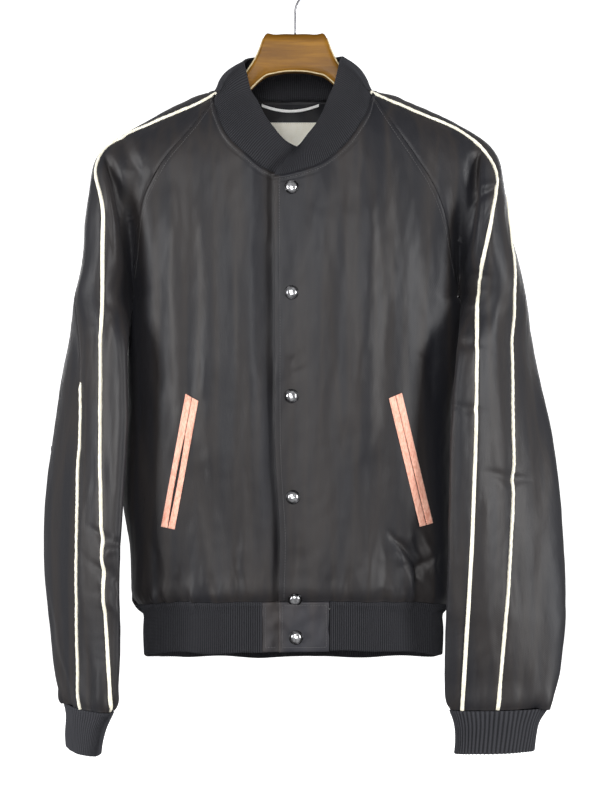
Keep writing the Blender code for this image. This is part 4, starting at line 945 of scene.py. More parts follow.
def make_pipings(panels, looks):
    """Cream cords sewn into the two seams of each sleeve's top strip."""
    section = [(-2.1, -0.6), (-2.25, 0.6), (-1.9, 1.6), (-1.1, 2.25), (0, 2.45),
               (1.1, 2.25), (1.9, 1.6), (2.25, 0.6), (2.1, -0.6), (0, -1.0)]
    made = {}
    for side in (LEFT, RIGHT):
        panel = panels[side, "sleeve_top"]
        for place, column, beside in (("front", 0, 1), ("back", -1, -2)):
            line, normal = panel.grid[:, column], panel.normal[:, column]
            line = line + unit(line - panel.grid[:, beside]) * SEAM_GAP / 2
            line = line + normal * PIPING_SEAT
            line, normal = resample(line, normal, PIPING_STEP, PIPING_START[place], 0.3)
            line = smoothed(line, 6)
            way = PIPING_STEP * np.arange(len(line))
            slow = waves(line, (70, 70, 70), 51)
            line = line + normal * (0.16 * np.cos(2 * np.pi * (way + 3 * slow) / PUCKER_STEP))[:, None]
            swell = 1 + 0.04 * waves(line, (26, 26, 26), 52)
            if (side, place) == (RIGHT, "back"):
                hidden = ease((line[:, 2] - FOLD_BOTTOM) / 12)
                line = line - normal * (1.6 * hidden)[:, None]
                swell = swell * (1 - 0.75 * hidden)
            name = f"piping_{LABELS[side]}_{place}"
            made[side, place] = add_tube(f"{name}_cord", line, normal, section, looks["cream"],
                                         (name,), swell)
    return made


def make_fold(panels, looks):
    """A thin roll of the strip's cloth, which hides the wearer's right back piping in its upper part."""
    panel = panels[RIGHT, "sleeve_top"]
    line, normal = resample(panel.grid[:, -1], panel.normal[:, -1], 2.0)
    keep = line[:, 2] > FOLD_BOTTOM + 4
    line, normal = smoothed(line[keep], 5), normal[keep]
    section = [(-2.0, -0.6), (-1.3, 0.35), (-0.4, 0.75), (0.6, 0.7), (1.4, 0.25), (2.0, -0.6), (0, -1.2)]
    return add_tube("sleeve_right_fold", line, normal, section, looks["satin"])


def loft(name, sections, finish, nodes=(), closed=False, flip=False, uv=None):
    """A solid through closed sections; a closed one joins its last section to its first."""
    rows, columns = sections.shape[:2]
    if closed:
        faces = grid_quads(rows + 1, columns, ring=True) % (rows * columns)
    else:
        faces = grid_quads(rows, columns, ring=True)
    faces = (faces[:, ::-1] if flip else faces).tolist()
    if not closed:
        caps = [list(range(columns)), list(range(rows * columns - 1, (rows - 1) * columns - 1, -1))]
        faces += [cap[::-1] for cap in caps] if not flip else caps
    return add_piece(name, sections.reshape(-1, 3), faces, finish, nodes, uv)


# ---- knit trims ----------------------------------------------------------------------------------
def band_profile(length, wall, steps):
    """A folded band's outline: drops from its seam, depths from its outer face, and which way it faces."""
    straight = length - wall / 2
    down = np.linspace(0, straight, steps)
    turn = np.linspace(0, np.pi, 9)[1:-1]
    drop = np.concatenate([down, straight + wall / 2 * np.sin(turn), down[::-1]])
    depth = np.concatenate([0 * down, wall / 2 * (1 - np.cos(turn)), 0 * down + wall])
    facing = np.concatenate([0 * down + 1, np.cos(turn), 0 * down - 1])
    return drop, depth, facing


def smoothed(line, reach, closed=False):
    """A line of points averaged over a number of neighbours on each side; an open line keeps its ends."""
    weights = np.hanning(2 * reach + 3)[1:-1]
    beside = ((reach, reach), (0, 0))
    padded = np.pad(line, beside, "wrap") if closed else np.pad(line, beside, "reflect", reflect_type="odd")
    return np.column_stack([np.convolve(padded[:, k], weights / weights.sum(), "valid") for k in range(3)])


def flat_normals(line):
    """Level normals of a line that runs round the jacket from its front by way of the wearer's left."""
    run = np.gradient(line, axis=0)
    return unit(np.column_stack([run[:, 1], -run[:, 0], np.zeros(len(line))]))


def ribs(count):
    """Height of the ribs at each of the stations, four to a rib."""
    return RIB_DEPTH * np.cos(np.pi / 2 * np.arange(count))


def rib_uv(stations, drop):
    """Cloth coordinates whose first axis counts the ribs by their pitch."""
    across = np.arange(stations) * RIB_PITCH / 4 + RIB_PITCH / 2
    return face_uv(across[:, None], -drop[None])


def neck_line(panels):
    """Points and normals of the neck seam, from the over front by way of the back to the under front."""
    order = [panels[LEFT, name] for name in ("front", "sleeve_front", "sleeve_top", "sleeve_back")]
    rows = [(panel.grid[0], panel.normal[0]) for panel in order]
    rows.append((panels["back"].grid[0, ::-1], panels["back"].normal[0, ::-1]))
    for name in ("sleeve_back", "sleeve_top", "sleeve_front", "front"):
        panel = panels[RIGHT, name]
        rows.append((panel.grid[0, ::-1], panel.normal[0, ::-1]))
    return np.concatenate([row[0] for row in rows]), np.concatenate([row[1] for row in rows])


def make_collar(panels, looks):
    """The folded stand collar, whose ribs run from its seam to its free edge."""
    line, normal = neck_line(panels)
    seam, seam_normal = resample(line, normal, RIB_PITCH / 4)
    even = smoothed(seam, 14)
    seam_normal = unit(smoothed(seam_normal, 22))
    count = len(seam)
    shares = np.linspace(0, 1, count)
    top = np.column_stack([COLLAR.at(name, shares) for name in ("x", "y", "z")])
    top[:, 1] += UNDERLAP_DEPTH * np.clip((shares - 0.93) / 0.03, 0, 1)
    top[:, 2] += 0.7 * waves(top, (60, 60, 60), 61)
    rise = top - even
    length = np.linalg.norm(rise, axis=1, keepdims=True)
    along = np.gradient(even, axis=0)
    off = np.cross(seam_normal, along)
    off = unit(off) * np.sign(np.sum(off * rise, axis=1, keepdims=True))
    seam = seam + off * SEAM_GAP * 1.8
    face = unit(np.cross(np.gradient(smoothed(even + top, 20), axis=0), rise))
    drop, _, facing = band_profile(1.0, 0.0, 15)
    drop = np.clip(drop, 0, 1)
    crown = ribs(count)
    sections = np.zeros((count, len(drop), 3))
    for k in range(len(drop)):
        share = drop[k]
        blend = ease(share / 0.33)
        way = unit(seam_normal * (1 - blend) + face * blend)
        turn = (1 - facing[k]) / 2 * RIB
        edge = RIB / 2 * np.sqrt(max(0.0, 1 - facing[k] ** 2)) - RIB / 2
        point = seam * (1 - blend) + even * blend + rise * share
        point = point + rise / length * (edge * ease((share - 0.8) / 0.2))
        bulge = COLLAR_BULGE * np.sin(np.pi * share) + 0.5 * waves(point, (36, 36, 36), 62)
        ends = ease(np.minimum(np.arange(count), count - 1 - np.arange(count)) / 12.0)
        puff = (bulge - turn + crown * facing[k] * (0.35 + 0.65 * ends))[:, None]
        sections[:, k] = point + way * puff + rise / length * (crown * (1 - abs(facing[k])))[:, None] * 0.5
    uv = rib_uv(count, drop * 45)
    return loft("collar_knit", sections, looks["knit"], ("collar_rib",), uv=uv)


def way_of_x(line, x):
    """Way along a polyline at which it first passes an X."""
    way = way_along(line)
    past = np.nonzero((line[1:, 0] - x) * (line[:-1, 0] - x) <= 0)[0][0]
    share = (x - line[past, 0]) / (line[past + 1, 0] - line[past, 0])
    return way[past] + (way[past + 1] - way[past]) * share


def hem_band(line, profile, draw_in, crown, length_wave=0.0):
    """Sections of a band below a line of the hem seam: it draws in below the seam and hangs straight."""
    drop, depth, facing = profile
    even = smoothed(line, min(40, len(line) // 3))
    normal = flat_normals(even)
    longest = drop.max()
    extra = length_wave * waves(even, (90, 90, 90), 71)
    sections = np.zeros((len(line), len(drop), 3))
    for k in range(len(drop)):
        blend = ease(drop[k] / 9.0)
        base = line * (1 - blend) + even * blend
        inset = draw_in * ease(drop[k] / 12.0) - 1.1 * np.sin(np.pi * min(drop[k] / longest, 1))
        inset = inset + 0.9 * ease(drop[k] / 30) * waves(even, (70, 70, 70), 72)
        out = crown * facing[k] * ease(drop[k] / 3.0 + 0.25) - depth[k] - inset
        sections[:, k] = base + normal * out[:, None]
        fall = SEAM_GAP + drop[k] * (1 + extra / longest) + crown * (1 - abs(facing[k])) * 0.9
        sections[:, k, 2] = base[:, 2] - fall
    return sections


def hem_ring(panels):
    """The hem seam from the over front's edge round the back to the under front's edge."""
    left, right, back = (panels[key].grid[-1] for key in ((LEFT, "front"), (RIGHT, "front"), "back"))
    return np.concatenate([left, back[::-1], right[::-1]])


def make_hem(panels, looks):
    """The hem rib and the two satin tabs that end it."""
    ring = hem_ring(panels)
    length = way_along(ring)[-1]
    start = way_of_x(ring, RIB_END[LEFT]) - 0.4
    end = length - way_of_x(ring[::-1], RIB_END[RIGHT]) + 0.4
    line, _ = resample(ring, ring, RIB_PITCH / 4, start, length - end)
    profile = band_profile(HEM_RIB, RIB, 13)
    facing = flat_normals(smoothed(line, 40))[:, 0] ** 2
    place = RIB_PITCH / 4 * np.arange(len(line))
    ends = ease(np.minimum(place, place[-1] - place) / 16.0)
    sections = hem_band(line, profile, 0.8 + (3.2 + 4.5 * facing) * ends, ribs(len(line)), 0.8)
    made = {"hem": loft("hem_knit", sections, looks["knit"], ("hem_rib",),
                        uv=rib_uv(len(line), profile[0]))}
    left, right = panels[LEFT, "front"].grid[-1], panels[RIGHT, "front"].grid[-1][::-1]
    spans = {
        LEFT: (left, 0.0, way_of_x(left, TAB_END[LEFT])),
        RIGHT: (right, way_of_x(right, TAB_END[RIGHT]), way_of_x(right, right[-1, 0] - 0.05)),
    }
    for side, (edge, first, last) in spans.items():
        line, _ = resample(edge, edge, 1.3, first, way_along(edge)[-1] - last)
        profile = band_profile(HEM_RIB, TAB_WALL, 22)
        sections = hem_band(line, profile, 1.0, np.zeros(len(line)))
        bumps = 0.35 * waves(sections, (16, 16, 22), 73) + 0.4 * waves(sections, (40, 40, 50), 74)
        sections[..., 1] += bumps * (profile[2][None] > 0)
        uv = face_uv(1.3 * np.arange(len(line))[:, None], -profile[0][None])
        name = f"hem_tab_{LABELS[side]}"
        # the tabs take the satin's copy that is painted lighter
        made[side] = loft(f"{name}_cloth", sections, looks["tab satin painted lighter"], (name,), uv=uv)
    return made


def make_cuffs(looks):
    """The two knit cuffs, drawn in below their seams."""
    made = {}
    for side, label in LABELS.items():
        count = 4 * CUFF_RIBS[side]
        strip = Strip(side, "cuff", np.arange(count) / count, CUFF_END)
        drop, depth, facing = band_profile(SLEEVE_END - CUFF_END - 2 * SEAM_GAP, RIB, 14)
        crown = ribs(count)
        sections = np.zeros((count, len(drop), 3))
        for k in range(len(drop)):
            z = SLEEVE_END - 2 * SEAM_GAP - drop[k]
            ring = smoothed(np.array([strip.points(j, z) for j in range(count)]), 3, closed=True)
            run = np.roll(ring, -1, axis=0) - np.roll(ring, 1, axis=0)
            out = unit(np.column_stack([run[:, 1], -run[:, 0], 0 * run[:, 0]]) * side)
            swell = 0.8 * ease(drop[k] / 10) * waves(ring, (34, 34, 60), 81 + side)
            lift = crown * facing[k] * ease(drop[k] / 3.0 + 0.3) - depth[k] + swell
            sections[:, k] = ring + out * lift[:, None]
            sections[:, k, 2] -= crown * (1 - abs(facing[k])) * 0.8
        # the cuffs take the knit's copy that is painted lighter
        made[side] = loft(f"cuff_{label}_knit", sections, looks["cuff knit painted lighter"],
                          (f"cuff_{label}",), closed=True, flip=side == RIGHT, uv=rib_uv(count, drop))
    return made


# ---- stitches ------------------------------------------------------------------------------------
def add_stitches(name, lines, finish, pitch=3.2, length=2.2, radius=0.3):
    """Short threads along lines of points and normals."""
    ends = ((-0.5, 0.35), (-0.3, 1.0), (0.3, 1.0), (0.5, 0.35))
    angles = circle(5)
    points, faces = [], []
    for line, normal in lines:
        middle, up = resample(line, normal, pitch, pitch)
        run = unit(np.gradient(middle, axis=0))
        beside = np.cross(run, up)
        for i in range(len(middle)):
            base = sum(len(part) for part in points)
            rings = []
            for along, thick in ends:
                for a in angles:
                    spot = middle[i] + run[i] * along * length
                    spot = spot + beside[i] * np.cos(a) * radius * thick
                    rings.append(spot + up[i] * (np.sin(a) * radius * thick + 0.1))
            points.append(np.array(rings))
            faces += [[base + 5 * r + (k + 1) % 5, base + 5 * r + k, base + 5 * r + k + 5,
                       base + 5 * r + (k + 1) % 5 + 5] for r in range(3) for k in range(5)]
            faces += [[base + k for k in range(5)], [base + 19 - k for k in range(5)]]
    return add_piece(name, np.concatenate(points), faces, finish)


class Surface:
    """Finds places on finished pieces by a straight look along Y."""

    def __init__(self, pieces):
        points, faces = [], []
        for piece in pieces:
            base = len(points)
            points += [vertex.co / MM for vertex in piece.data.vertices]
            faces += [[base + k for k in polygon.vertices] for polygon in piece.data.polygons]
        self.tree = BVHTree.FromPolygons(points, faces)

    def at(self, x, z, start=-300.0):
        found, normal, _, _ = self.tree.ray_cast(Vector((x, start, z)), Vector((0, -np.sign(start), 0)))
        if found is None:
            raise ValueError(f"no cloth at {x:.1f}, {z:.1f}")
        normal = np.array(normal)
        return np.array(found), normal * (1 if normal[1] * np.sign(start) > 0 else -1)

    def line(self, route, step=2.0):
        """Points and smoothed normals along a route of X and Z."""
        route = np.array(route, float)
        way = way_along(route)
        places = np.arange(0, way[-1] + 0.01, step)
        spots = [self.at(x, z) for x, z in at_ways(places, way, route)]
        return np.array([spot[0] for spot in spots]), np.array([spot[1] for spot in spots])


def above_underarm(line, normal):
    """The part of a line that lies well above the underarm."""
    keep = line[:, 2] > UNDERARM + 20
    return line[keep], normal[keep]


def make_stitches(panels, surface, looks):
    """Topstitching below the neck seam, on the placket's edge, beside the raglan seams and on the tabs."""
    lines = [panels[LEFT, "front"].line(first=EDGE_STITCH)]
    for side in (LEFT, RIGHT):
        lines.append(panels[side, "front"].line(top=NECK_STITCH))
        for name in ("sleeve_front", "sleeve_back"):
            lines.append(panels[side, name].line(top=NECK_STITCH))
        lines.append(above_underarm(*panels[side, "front"].line(last=RAGLAN_STITCH)))
    lines.append(panels["back"].line(top=NECK_STITCH))
    lines.append(above_underarm(*panels["back"].line(first=RAGLAN_STITCH)))
    lines.append(above_underarm(*panels["back"].line(last=RAGLAN_STITCH)))
    box = [(-14, -742.5), (35.5, -742.5), (35.5, -790), (-14, -790), (-14, -742.5)]
    lines.append(surface.line(box, 1.5))
    lines.append(surface.line([(-33.5, -742.5), (-33.5, -790), (-21, -790)], 1.5))
    return add_stitches("topstitching", lines, looks["thread"])


# ---- details -------------------------------------------------------------------------------------
def welt_sections(surface, welt, sense):
    """Sections of one of a pocket's two welts, laid on the cloth."""
    side = welt["side"]
    start, end = np.array((welt["x_top"], welt["z_top"])), np.array((welt["x_bottom"], welt["z_bottom"]))
    way = unit(end - start)
    beside = np.array([-way[1], way[0]]) * side
    rows = []
    for share in np.linspace(0, 1, WELT_STEPS):
        slant = WELT_SKEW[side] * np.clip(1 - share / 0.35, 0, 1) * -side / WELT_WIDTH / 2
        gape = WELT_GAPE[side] * np.sin(np.pi * np.clip((share - 0.28) / 0.72, 0, 1)) ** 0.8
        near = WELT_SLIT / 2 - 0.3 + gape / 2
        squeeze = (WELT_WIDTH + WELT_SLIT / 2 - near) / WELT_WIDTH
        spot = start + (end - start) * share
        row = []
        for reach, lift in WELT_SECTION:
            aside = sense * (near + reach * squeeze)
            point, _ = surface.at(*(spot + beside * aside + way * aside * side * slant))
            lump = 0.16 * np.sin(0.55 * share * WELT_LENGTH + 2 * np.sin(9 * share)) if lift > 1 else 0.0
            row.append(point + np.array((0, -1, 0)) * (lift + lump))
        rows.append(row)
    return np.array(rows)


def make_welts(surface, looks):
    """Salmon welts: each is a folded strip whose fold lies at the slit."""
    along = -WELT_LENGTH * np.linspace(0, 1, WELT_STEPS)
    uv = face_uv(np.array(WELT_SECTION)[None, :, 0], along[:, None])
    made = {LEFT: [], RIGHT: []}
    for welt in WELTS:
        side = welt["side"]
        for place, sense in (("inner", -1), ("outer", 1)):
            name = f"welt_{LABELS[side]}_{place}"
            sections = welt_sections(surface, welt, sense)
            made[side].append(loft(f"{name}_cloth", sections, looks["salmon"], (name,),
                                   flip=(sense * side) > 0, uv=uv))
    return made


def facing_all(line, way):
    """The same normal for every point of a line."""
    return np.tile(np.array(way, float), (len(line), 1))


def turned(name, profile, base, axis, finish, nodes, sides=56):
    """A turned solid: the profile's radii and heights round an axis that stands on a base point."""
    axis = unit(axis)
    first = unit(np.cross(axis, (0, 0, 1.0)))
    second = np.cross(axis, first)
    angles = circle(sides)
    rings = [[base + axis * height + (first * np.cos(a) + second * np.sin(a)) * radius for a in angles]
             for radius, height in profile]
    return loft(name, np.array(rings), finish, nodes)


def make_snaps(surface, looks):
    """Each snap is a stepped bright ring with a glossy dark dome in it."""
    for number, (x, z) in enumerate(SNAPS, 1):
        spots = [surface.at(x + dx, z + dz) for dx, dz in ((0, 0), (5, 0), (-5, 0), (0, 5), (0, -5))]
        base = spots[0][0]
        base[1] = np.mean([spot[0][1] for spot in spots])
        axis = np.mean([spot[1] for spot in spots], axis=0)
        for short, node, profile, finish, slot in (("rim", "ring", SNAP_RING, "silver", "silver_ring"),
                                                   ("cap", "dome", SNAP_DOME, "pearl", "dark_pearl")):
            turned(f"snap_{number}_{short}", profile, base, axis, looks[finish],
                   (f"snap_{number}_{node}",))


def inside_back(x, z, depth):
    """A place inside the back's smooth form at a depth from its outer side, with its outward normal."""
    def place(x, z):
        side = LEFT if x > 0 else RIGHT
        return np.array([x, torso_reach(side, BACK, abs(x), z) - fold_depth(BACK, x, z), z], float)

    across = place(x + 2, z) - place(x - 2, z)
    down = place(x, z - 2) - place(x, z + 2)
    normal = unit(np.cross(across, down))
    return place(x, z) - normal * depth, normal


def inside_patch(xs, zs, depth):
    """A grid inside the back over X and, for each column, Z."""
    grid = np.zeros(zs.shape + (3,))
    normal = np.zeros(zs.shape + (3,))
    for j, x in enumerate(xs):
        for i in range(len(zs)):
            grid[i, j], normal[i, j] = inside_back(x, zs[i, j], depth)
    return grid, normal


def make_facing(looks):
    """The curved facing inside the back neck."""
    shares = np.linspace(-1, 1, 60)
    low = FACING_DEPTH * np.sqrt(1 - (shares * 0.97) ** 2)
    zs = NECK_TOP - FACING_START - low[None] * np.linspace(0, 1, 40)[:, None]
    grid, normal = inside_patch(shares * FACING_HALF, zs, FACING_LIES)
    grid = grid + normal * (0.3 * waves(grid, (24, 24, 30), 91))[..., None]
    return add_wall("neck_facing_cloth", grid, normal, FACING_WALL, looks["satin"],
                    ("neck_facing",))


def make_label(looks):
    """The bare label on the facing, and its stitches."""
    columns = 44
    xs = np.linspace(LABEL["x_low"], LABEL["x_high"], columns)
    rows = np.linspace(LABEL["top"], LABEL["bottom"], 24)
    grid, normal = inside_patch(xs, np.repeat(rows[:, None], columns, axis=1), LABEL_LIES + 0.9)
    grid = grid + normal * (0.25 * waves(grid, (20, 20, 20), 92))[..., None]
    label = add_wall("neck_label_cloth", grid, normal, 0.7, looks["label"], ("neck_label",))
    rim = np.concatenate([grid[1, 1:-1], grid[1:-1, -2], grid[-2, -2:0:-1], grid[-2:0:-1, 1]])
    rim = rim - np.array((0, 0.8, 0))
    seams = add_stitches("label_stitching", [(rim, facing_all(rim, (0, -1, 0)))], looks["pale thread"],
                         2.6, 1.7, 0.25)
    return label, seams


def make_loop(looks):
    """The white tape, sewn into the neck seam at both ends, which sags between them."""
    half = LOOP["width"] / 2
    rows = []
    for share in np.linspace(0, 1, 60):
        x = LOOP["x_low"] + (LOOP["x_high"] - LOOP["x_low"]) * share
        z = LOOP["top"] - LOOP["sag"] * np.sin(np.pi * share) ** 0.8
        point, out = inside_back(x, z, LABEL_LIES + 1.2 + 1.5 * np.sin(np.pi * share))
        rows.append([point + np.array((0, 0, half)) * np.sin(a) - out * 0.55 * (1 + np.cos(a))
                     for a in circle(10)])
    return loft("hanger_loop_tape", np.array(rows), looks["white"], ("hanger_loop",),
                flip=True)


# ---- hanger --------------------------------------------------------------------------------------
def hanger_bow(out):
    """How far forward the hanger's arms curve, outward from its middle."""
    return HANGER_BOW * (out / HANGER_HALF) ** 2


def hanger_sections():
    """Sections of the wooden arms from one end to the other."""
    sides = 64
    angles = 2 * np.pi * (np.arange(sides) + 0.5) / sides
    cosine, sine = np.cos(angles), np.sin(angles)
    reach = HANGER.key[-1]
    outs = np.unique(np.concatenate([
        np.linspace(0, 30, 8), np.linspace(30, 64, 30), np.linspace(64, 205, 30),
        205 + (reach - 205) * np.sin(np.linspace(0, np.pi / 2, 12)),
    ]))
    sections = []
    for x in np.concatenate([-outs[::-1], outs[1:]]):
        top, bottom, half, power = (HANGER.at(name, abs(x)) for name in ("top", "bottom", "half", "power"))
        end = np.clip((abs(x) - 206) / (reach - 206), 0, 1)
        round_off = np.sqrt(1 - 0.6 * end ** 2)
        y = half * round_off * np.sign(cosine) * np.abs(cosine) ** (2 / power) - hanger_bow(abs(x))
        tall = (top - bottom) / 2 * round_off
        z = (top + bottom) / 2 + tall * np.sign(sine) * np.abs(sine) ** (2 / power)
        sections.append(np.column_stack([np.full(sides, x), y, z]))
    return np.array(sections)


def add_edge_highlight(name, rim, span, looks):
    """A pale strip along an edge of the arms: a painted highlight that stands in for the varnish's
    reflection there.
    """
    out = np.abs(span)
    way = 1 if rim == "top" else -1
    top, bottom = HANGER.at("top", out), HANGER.at("bottom", out)
    level = (top + bottom) / 2 + way * ((top - bottom) / 2) * 0.965
    line = np.column_stack([span, -HANGER.at("half", out) * 0.80 - hanger_bow(out), level])
    section = [(-1.0, -0.8), (-0.9, 0.1), (0.0, 0.5), (0.9, 0.1), (1.0, -0.8), (0.0, -1.4)]
    add_tube(f"hanger_edge_{name}", line, facing_all(line, (0, -0.7, 0.7 * way)), section, looks["edge"])


def hook_route():
    """The wire's middle line: up out of the wood, over to one side and round the bow."""
    radius = HOOK_RADIUS + WIRE_RADIUS
    centre_z = WIRE_RADIUS - radius
    turns = np.radians(np.arange(-56, 203, 5))
    route = [(0.0, z) for z in np.linspace(HANGER.at("top", 0.0) + SEAM_GAP, -60.0, 12)]
    join = np.array((radius * np.cos(turns[0]), centre_z + radius * np.sin(turns[0])))
    bend_start, control = np.array((0.0, -58.0)), np.array((0.0, -46.0))
    for t in np.linspace(0, 1, 16)[:-1]:
        route.append(bend_start * (1 - t) ** 2 + control * 2 * t * (1 - t) + join * t * t)
    route += [(radius * np.cos(angle), centre_z + radius * np.sin(angle)) for angle in turns]
    return np.array([(x, 0.0, z) for x, z in route])


def make_hanger(looks):
    """The contoured wooden hanger with softly broken edges, pale strips of painted highlight along parts of
    them, and its wire hook.
    """
    loft("hanger_arms", hanger_sections(), looks["wood"], ("hanger_wood",), flip=True)
    # pale strips of painted highlight along the underside and the upper edges
    add_edge_highlight("low", "bottom", np.linspace(-60, 60, 90), looks)
    add_edge_highlight("left", "top", np.linspace(37, 58, 30), looks)
    add_edge_highlight("right", "top", np.linspace(-58, -37, 30), looks)
    line = hook_route()
    section = [(WIRE_RADIUS * np.cos(a), WIRE_RADIUS * np.sin(a)) for a in circle(14)]
    add_tube("hanger_wire", line, facing_all(line, (0, -1, 0)), section, looks["steel"],
             ("hanger_hook",))


# ---- materials -----------------------------------------------------------------------------------
class Looks:
    """A procedural material, put together node by node."""

    def __init__(self, name, roughness, **constants):
        self.made = bpy.data.materials.new(name)
        self.made.use_nodes = True
        self.tree = self.made.node_tree
        self.shader = self.tree.nodes["Principled BSDF"]
        self.shader.inputs["Roughness"].default_value = roughness
        for socket, value in constants.items():
            self.shader.inputs[socket.replace("_", " ")].default_value = value
        self.place = self.add("ShaderNodeTexCoord").outputs["Object"]
        self.cloth = self.add("ShaderNodeUVMap", uv_map="cloth").outputs["UV"]
        self.bump = None

    def add(self, kind, **settings):
        node = self.tree.nodes.new(kind)
        for name, value in settings.items():
            setattr(node, name, value)
        return node

    def link(self, source, target):
        self.tree.links.new(source, target)

    def math(self, operation, first, second=0.0, third=0.0):
        node = self.add("ShaderNodeMath", operation=operation)
        for socket, value in zip(node.inputs, (first, second, third)):
            if isinstance(value, (int, float)):
                socket.default_value = value
            else:
                self.link(value, socket)
        return node.outputs["Value"]

    def stretched(self, source, scale):
        node = self.add("ShaderNodeMapping")
        node.inputs["Scale"].default_value = scale
        self.link(source, node.inputs["Vector"])
        return node.outputs["Vector"]

    def noise(self, source, scale, detail=3.0, rough=0.5):
        """Noise with about this many features a metre along each axis."""
        node = self.add("ShaderNodeTexNoise")
        node.inputs["Scale"].default_value = 1.0
        node.inputs["Detail"].default_value = detail
        node.inputs["Roughness"].default_value = rough
        self.link(self.stretched(source, scale), node.inputs["Vector"])
        return node.outputs["Fac"]

    def lines(self, source, pitch, way="X", wander=0.0):
        """Waves across U or V with a pitch in metres."""
        node = self.add("ShaderNodeTexWave", wave_type="BANDS", bands_direction=way, wave_profile="SIN")
        node.inputs["Scale"].default_value = 2 * np.pi / 20 / pitch
        node.inputs["Distortion"].default_value = wander
        self.link(source, node.inputs["Vector"])
        return node.outputs["Fac"]

    def ramp(self, factor, *pairs, gain=1.0):
        """A colour ramp over places and colours, with a gain on the colours."""
        node = self.add("ShaderNodeValToRGB")
        elements = node.color_ramp.elements
        while len(elements) < len(pairs):
            elements.new(0.5)
        for element, (place, colour) in zip(elements, pairs):
            colour = [gain * part for part in colour]
            element.position = place
            element.color = (*colour, 1.0)
        self.link(factor, node.inputs["Fac"])
        return node.outputs["Color"]

    def spread(self, factor, low, high):
        node = self.add("ShaderNodeMapRange")
        node.inputs["To Min"].default_value = low
        node.inputs["To Max"].default_value = high
        self.link(factor, node.inputs["Value"])
        return node.outputs["Result"]

    def mix(self, factor, first, second, blend="MIX"):
        node = self.add("ShaderNodeMix", data_type="RGBA", blend_type=blend)
        for name, value in (("Factor", factor), ("A", first), ("B", second)):
            socket = [s for s in node.inputs if s.name == name and (s.type == "RGBA" or name == "Factor")][0]
            if isinstance(value, (int, float)):
                socket.default_value = value
            elif isinstance(value, tuple):
                socket.default_value = (*value, 1.0)
            else:
                self.link(value, socket)
        return [s for s in node.outputs if s.type == "RGBA"][0]

    def colour(self, source):
        self.link(source, self.shader.inputs["Base Color"])

    def rough(self, source):
        self.link(source, self.shader.inputs["Roughness"])

    def raised(self, height, distance, strength=1.0):
        """Adds a bump of this height in metres to the ones before it."""
        node = self.add("ShaderNodeBump")
        node.inputs["Distance"].default_value = distance
        node.inputs["Strength"].default_value = strength
        self.link(height, node.inputs["Height"])
        if self.bump is not None:
            self.link(self.bump, node.inputs["Normal"])
        self.bump = node.outputs["Normal"]
        self.link(self.bump, self.shader.inputs["Normal"])


def satin_material(name, gain):
    """Dark sateen: soft warm and cool bands that run down the cloth, part random tone and part painted sheen
    and shade of its long folds, and a fine weave with slubs.
    """
    looks = Looks(name, 0.52, Sheen_Weight=0.03, Sheen_Roughness=0.4,
                  Sheen_Tint=(0.92, 0.92, 1.0, 1.0), Specular_IOR_Level=0.25)
    # bands of random warm and cool tone that also carry painted sheen and painted shade, lighter and darker
    # down the cloth like its long folds
    bands = looks.noise(looks.place, (34, 22, 2.4), 2.0, 0.45)
    tone = looks.ramp(bands, (0.30, (0.005, 0.006, 0.0105)), (0.44, (0.011, 0.011, 0.0142)),
                      (0.55, (0.021, 0.0175, 0.0168)), (0.68, (0.009, 0.0095, 0.013)), gain=gain)
    patches = looks.noise(looks.place, (9, 9, 5), 2.0)
    tone = looks.mix(looks.spread(patches, 0.0, 0.4), tone, (0.016, 0.0155, 0.0165))
    slubs = looks.noise(looks.cloth, (420, 60, 1), 3.0, 0.6)
    tone = looks.mix(looks.spread(slubs, 0.0, 0.25), tone, (0.036, 0.034, 0.035))
    looks.colour(tone)
    looks.rough(looks.spread(looks.noise(looks.place, (30, 30, 12)), 0.42, 0.55))
    twill = looks.lines(looks.stretched(looks.cloth, (1.0, 0.55, 1.0)), 0.0007, "DIAGONAL", 0.4)
    looks.raised(looks.noise(looks.place, (60, 60, 22), 3.0), 0.0014, 0.5)
    looks.raised(looks.math("ADD", twill, slubs), 0.00006, 0.6)
    return looks.made


def knit_material(name, gain):
    """Rib knit: painted highlight on the crowns of its ribs and painted shade between them, and small loops
    along each with painted highlight and wear in patches.
    """
    looks = Looks(name, 0.9, Sheen_Weight=0.05, Sheen_Roughness=0.6,
                  Sheen_Tint=(0.85, 0.88, 1.0, 1.0), Specular_IOR_Level=0.15)
    crown = looks.lines(looks.cloth, RIB_PITCH * MM, "X")
    loops = looks.lines(looks.cloth, 0.0016, "Y", 0.6)
    fuzz = looks.noise(looks.place, (900, 900, 900), 2.0)
    # painted highlight on the ribs' crowns and painted shade in the grooves between them
    tone = looks.ramp(crown, (0.1, (0.007, 0.007, 0.0085)), (0.8, (0.027, 0.0273, 0.0315)), gain=gain)
    # the loops' tops lighter in fine patches: partly painted highlight on the loops, partly wear
    wear_and_loop_highlight = looks.spread(looks.math("MULTIPLY", loops, fuzz), 0.0, 0.6)
    tone = looks.mix(wear_and_loop_highlight, tone, (0.026, 0.026, 0.029))
    looks.colour(tone)
    looks.rough(looks.spread(fuzz, 0.8, 0.95))
    looks.raised(looks.math("ADD", loops, fuzz), 0.00022, 0.8)
    return looks.made


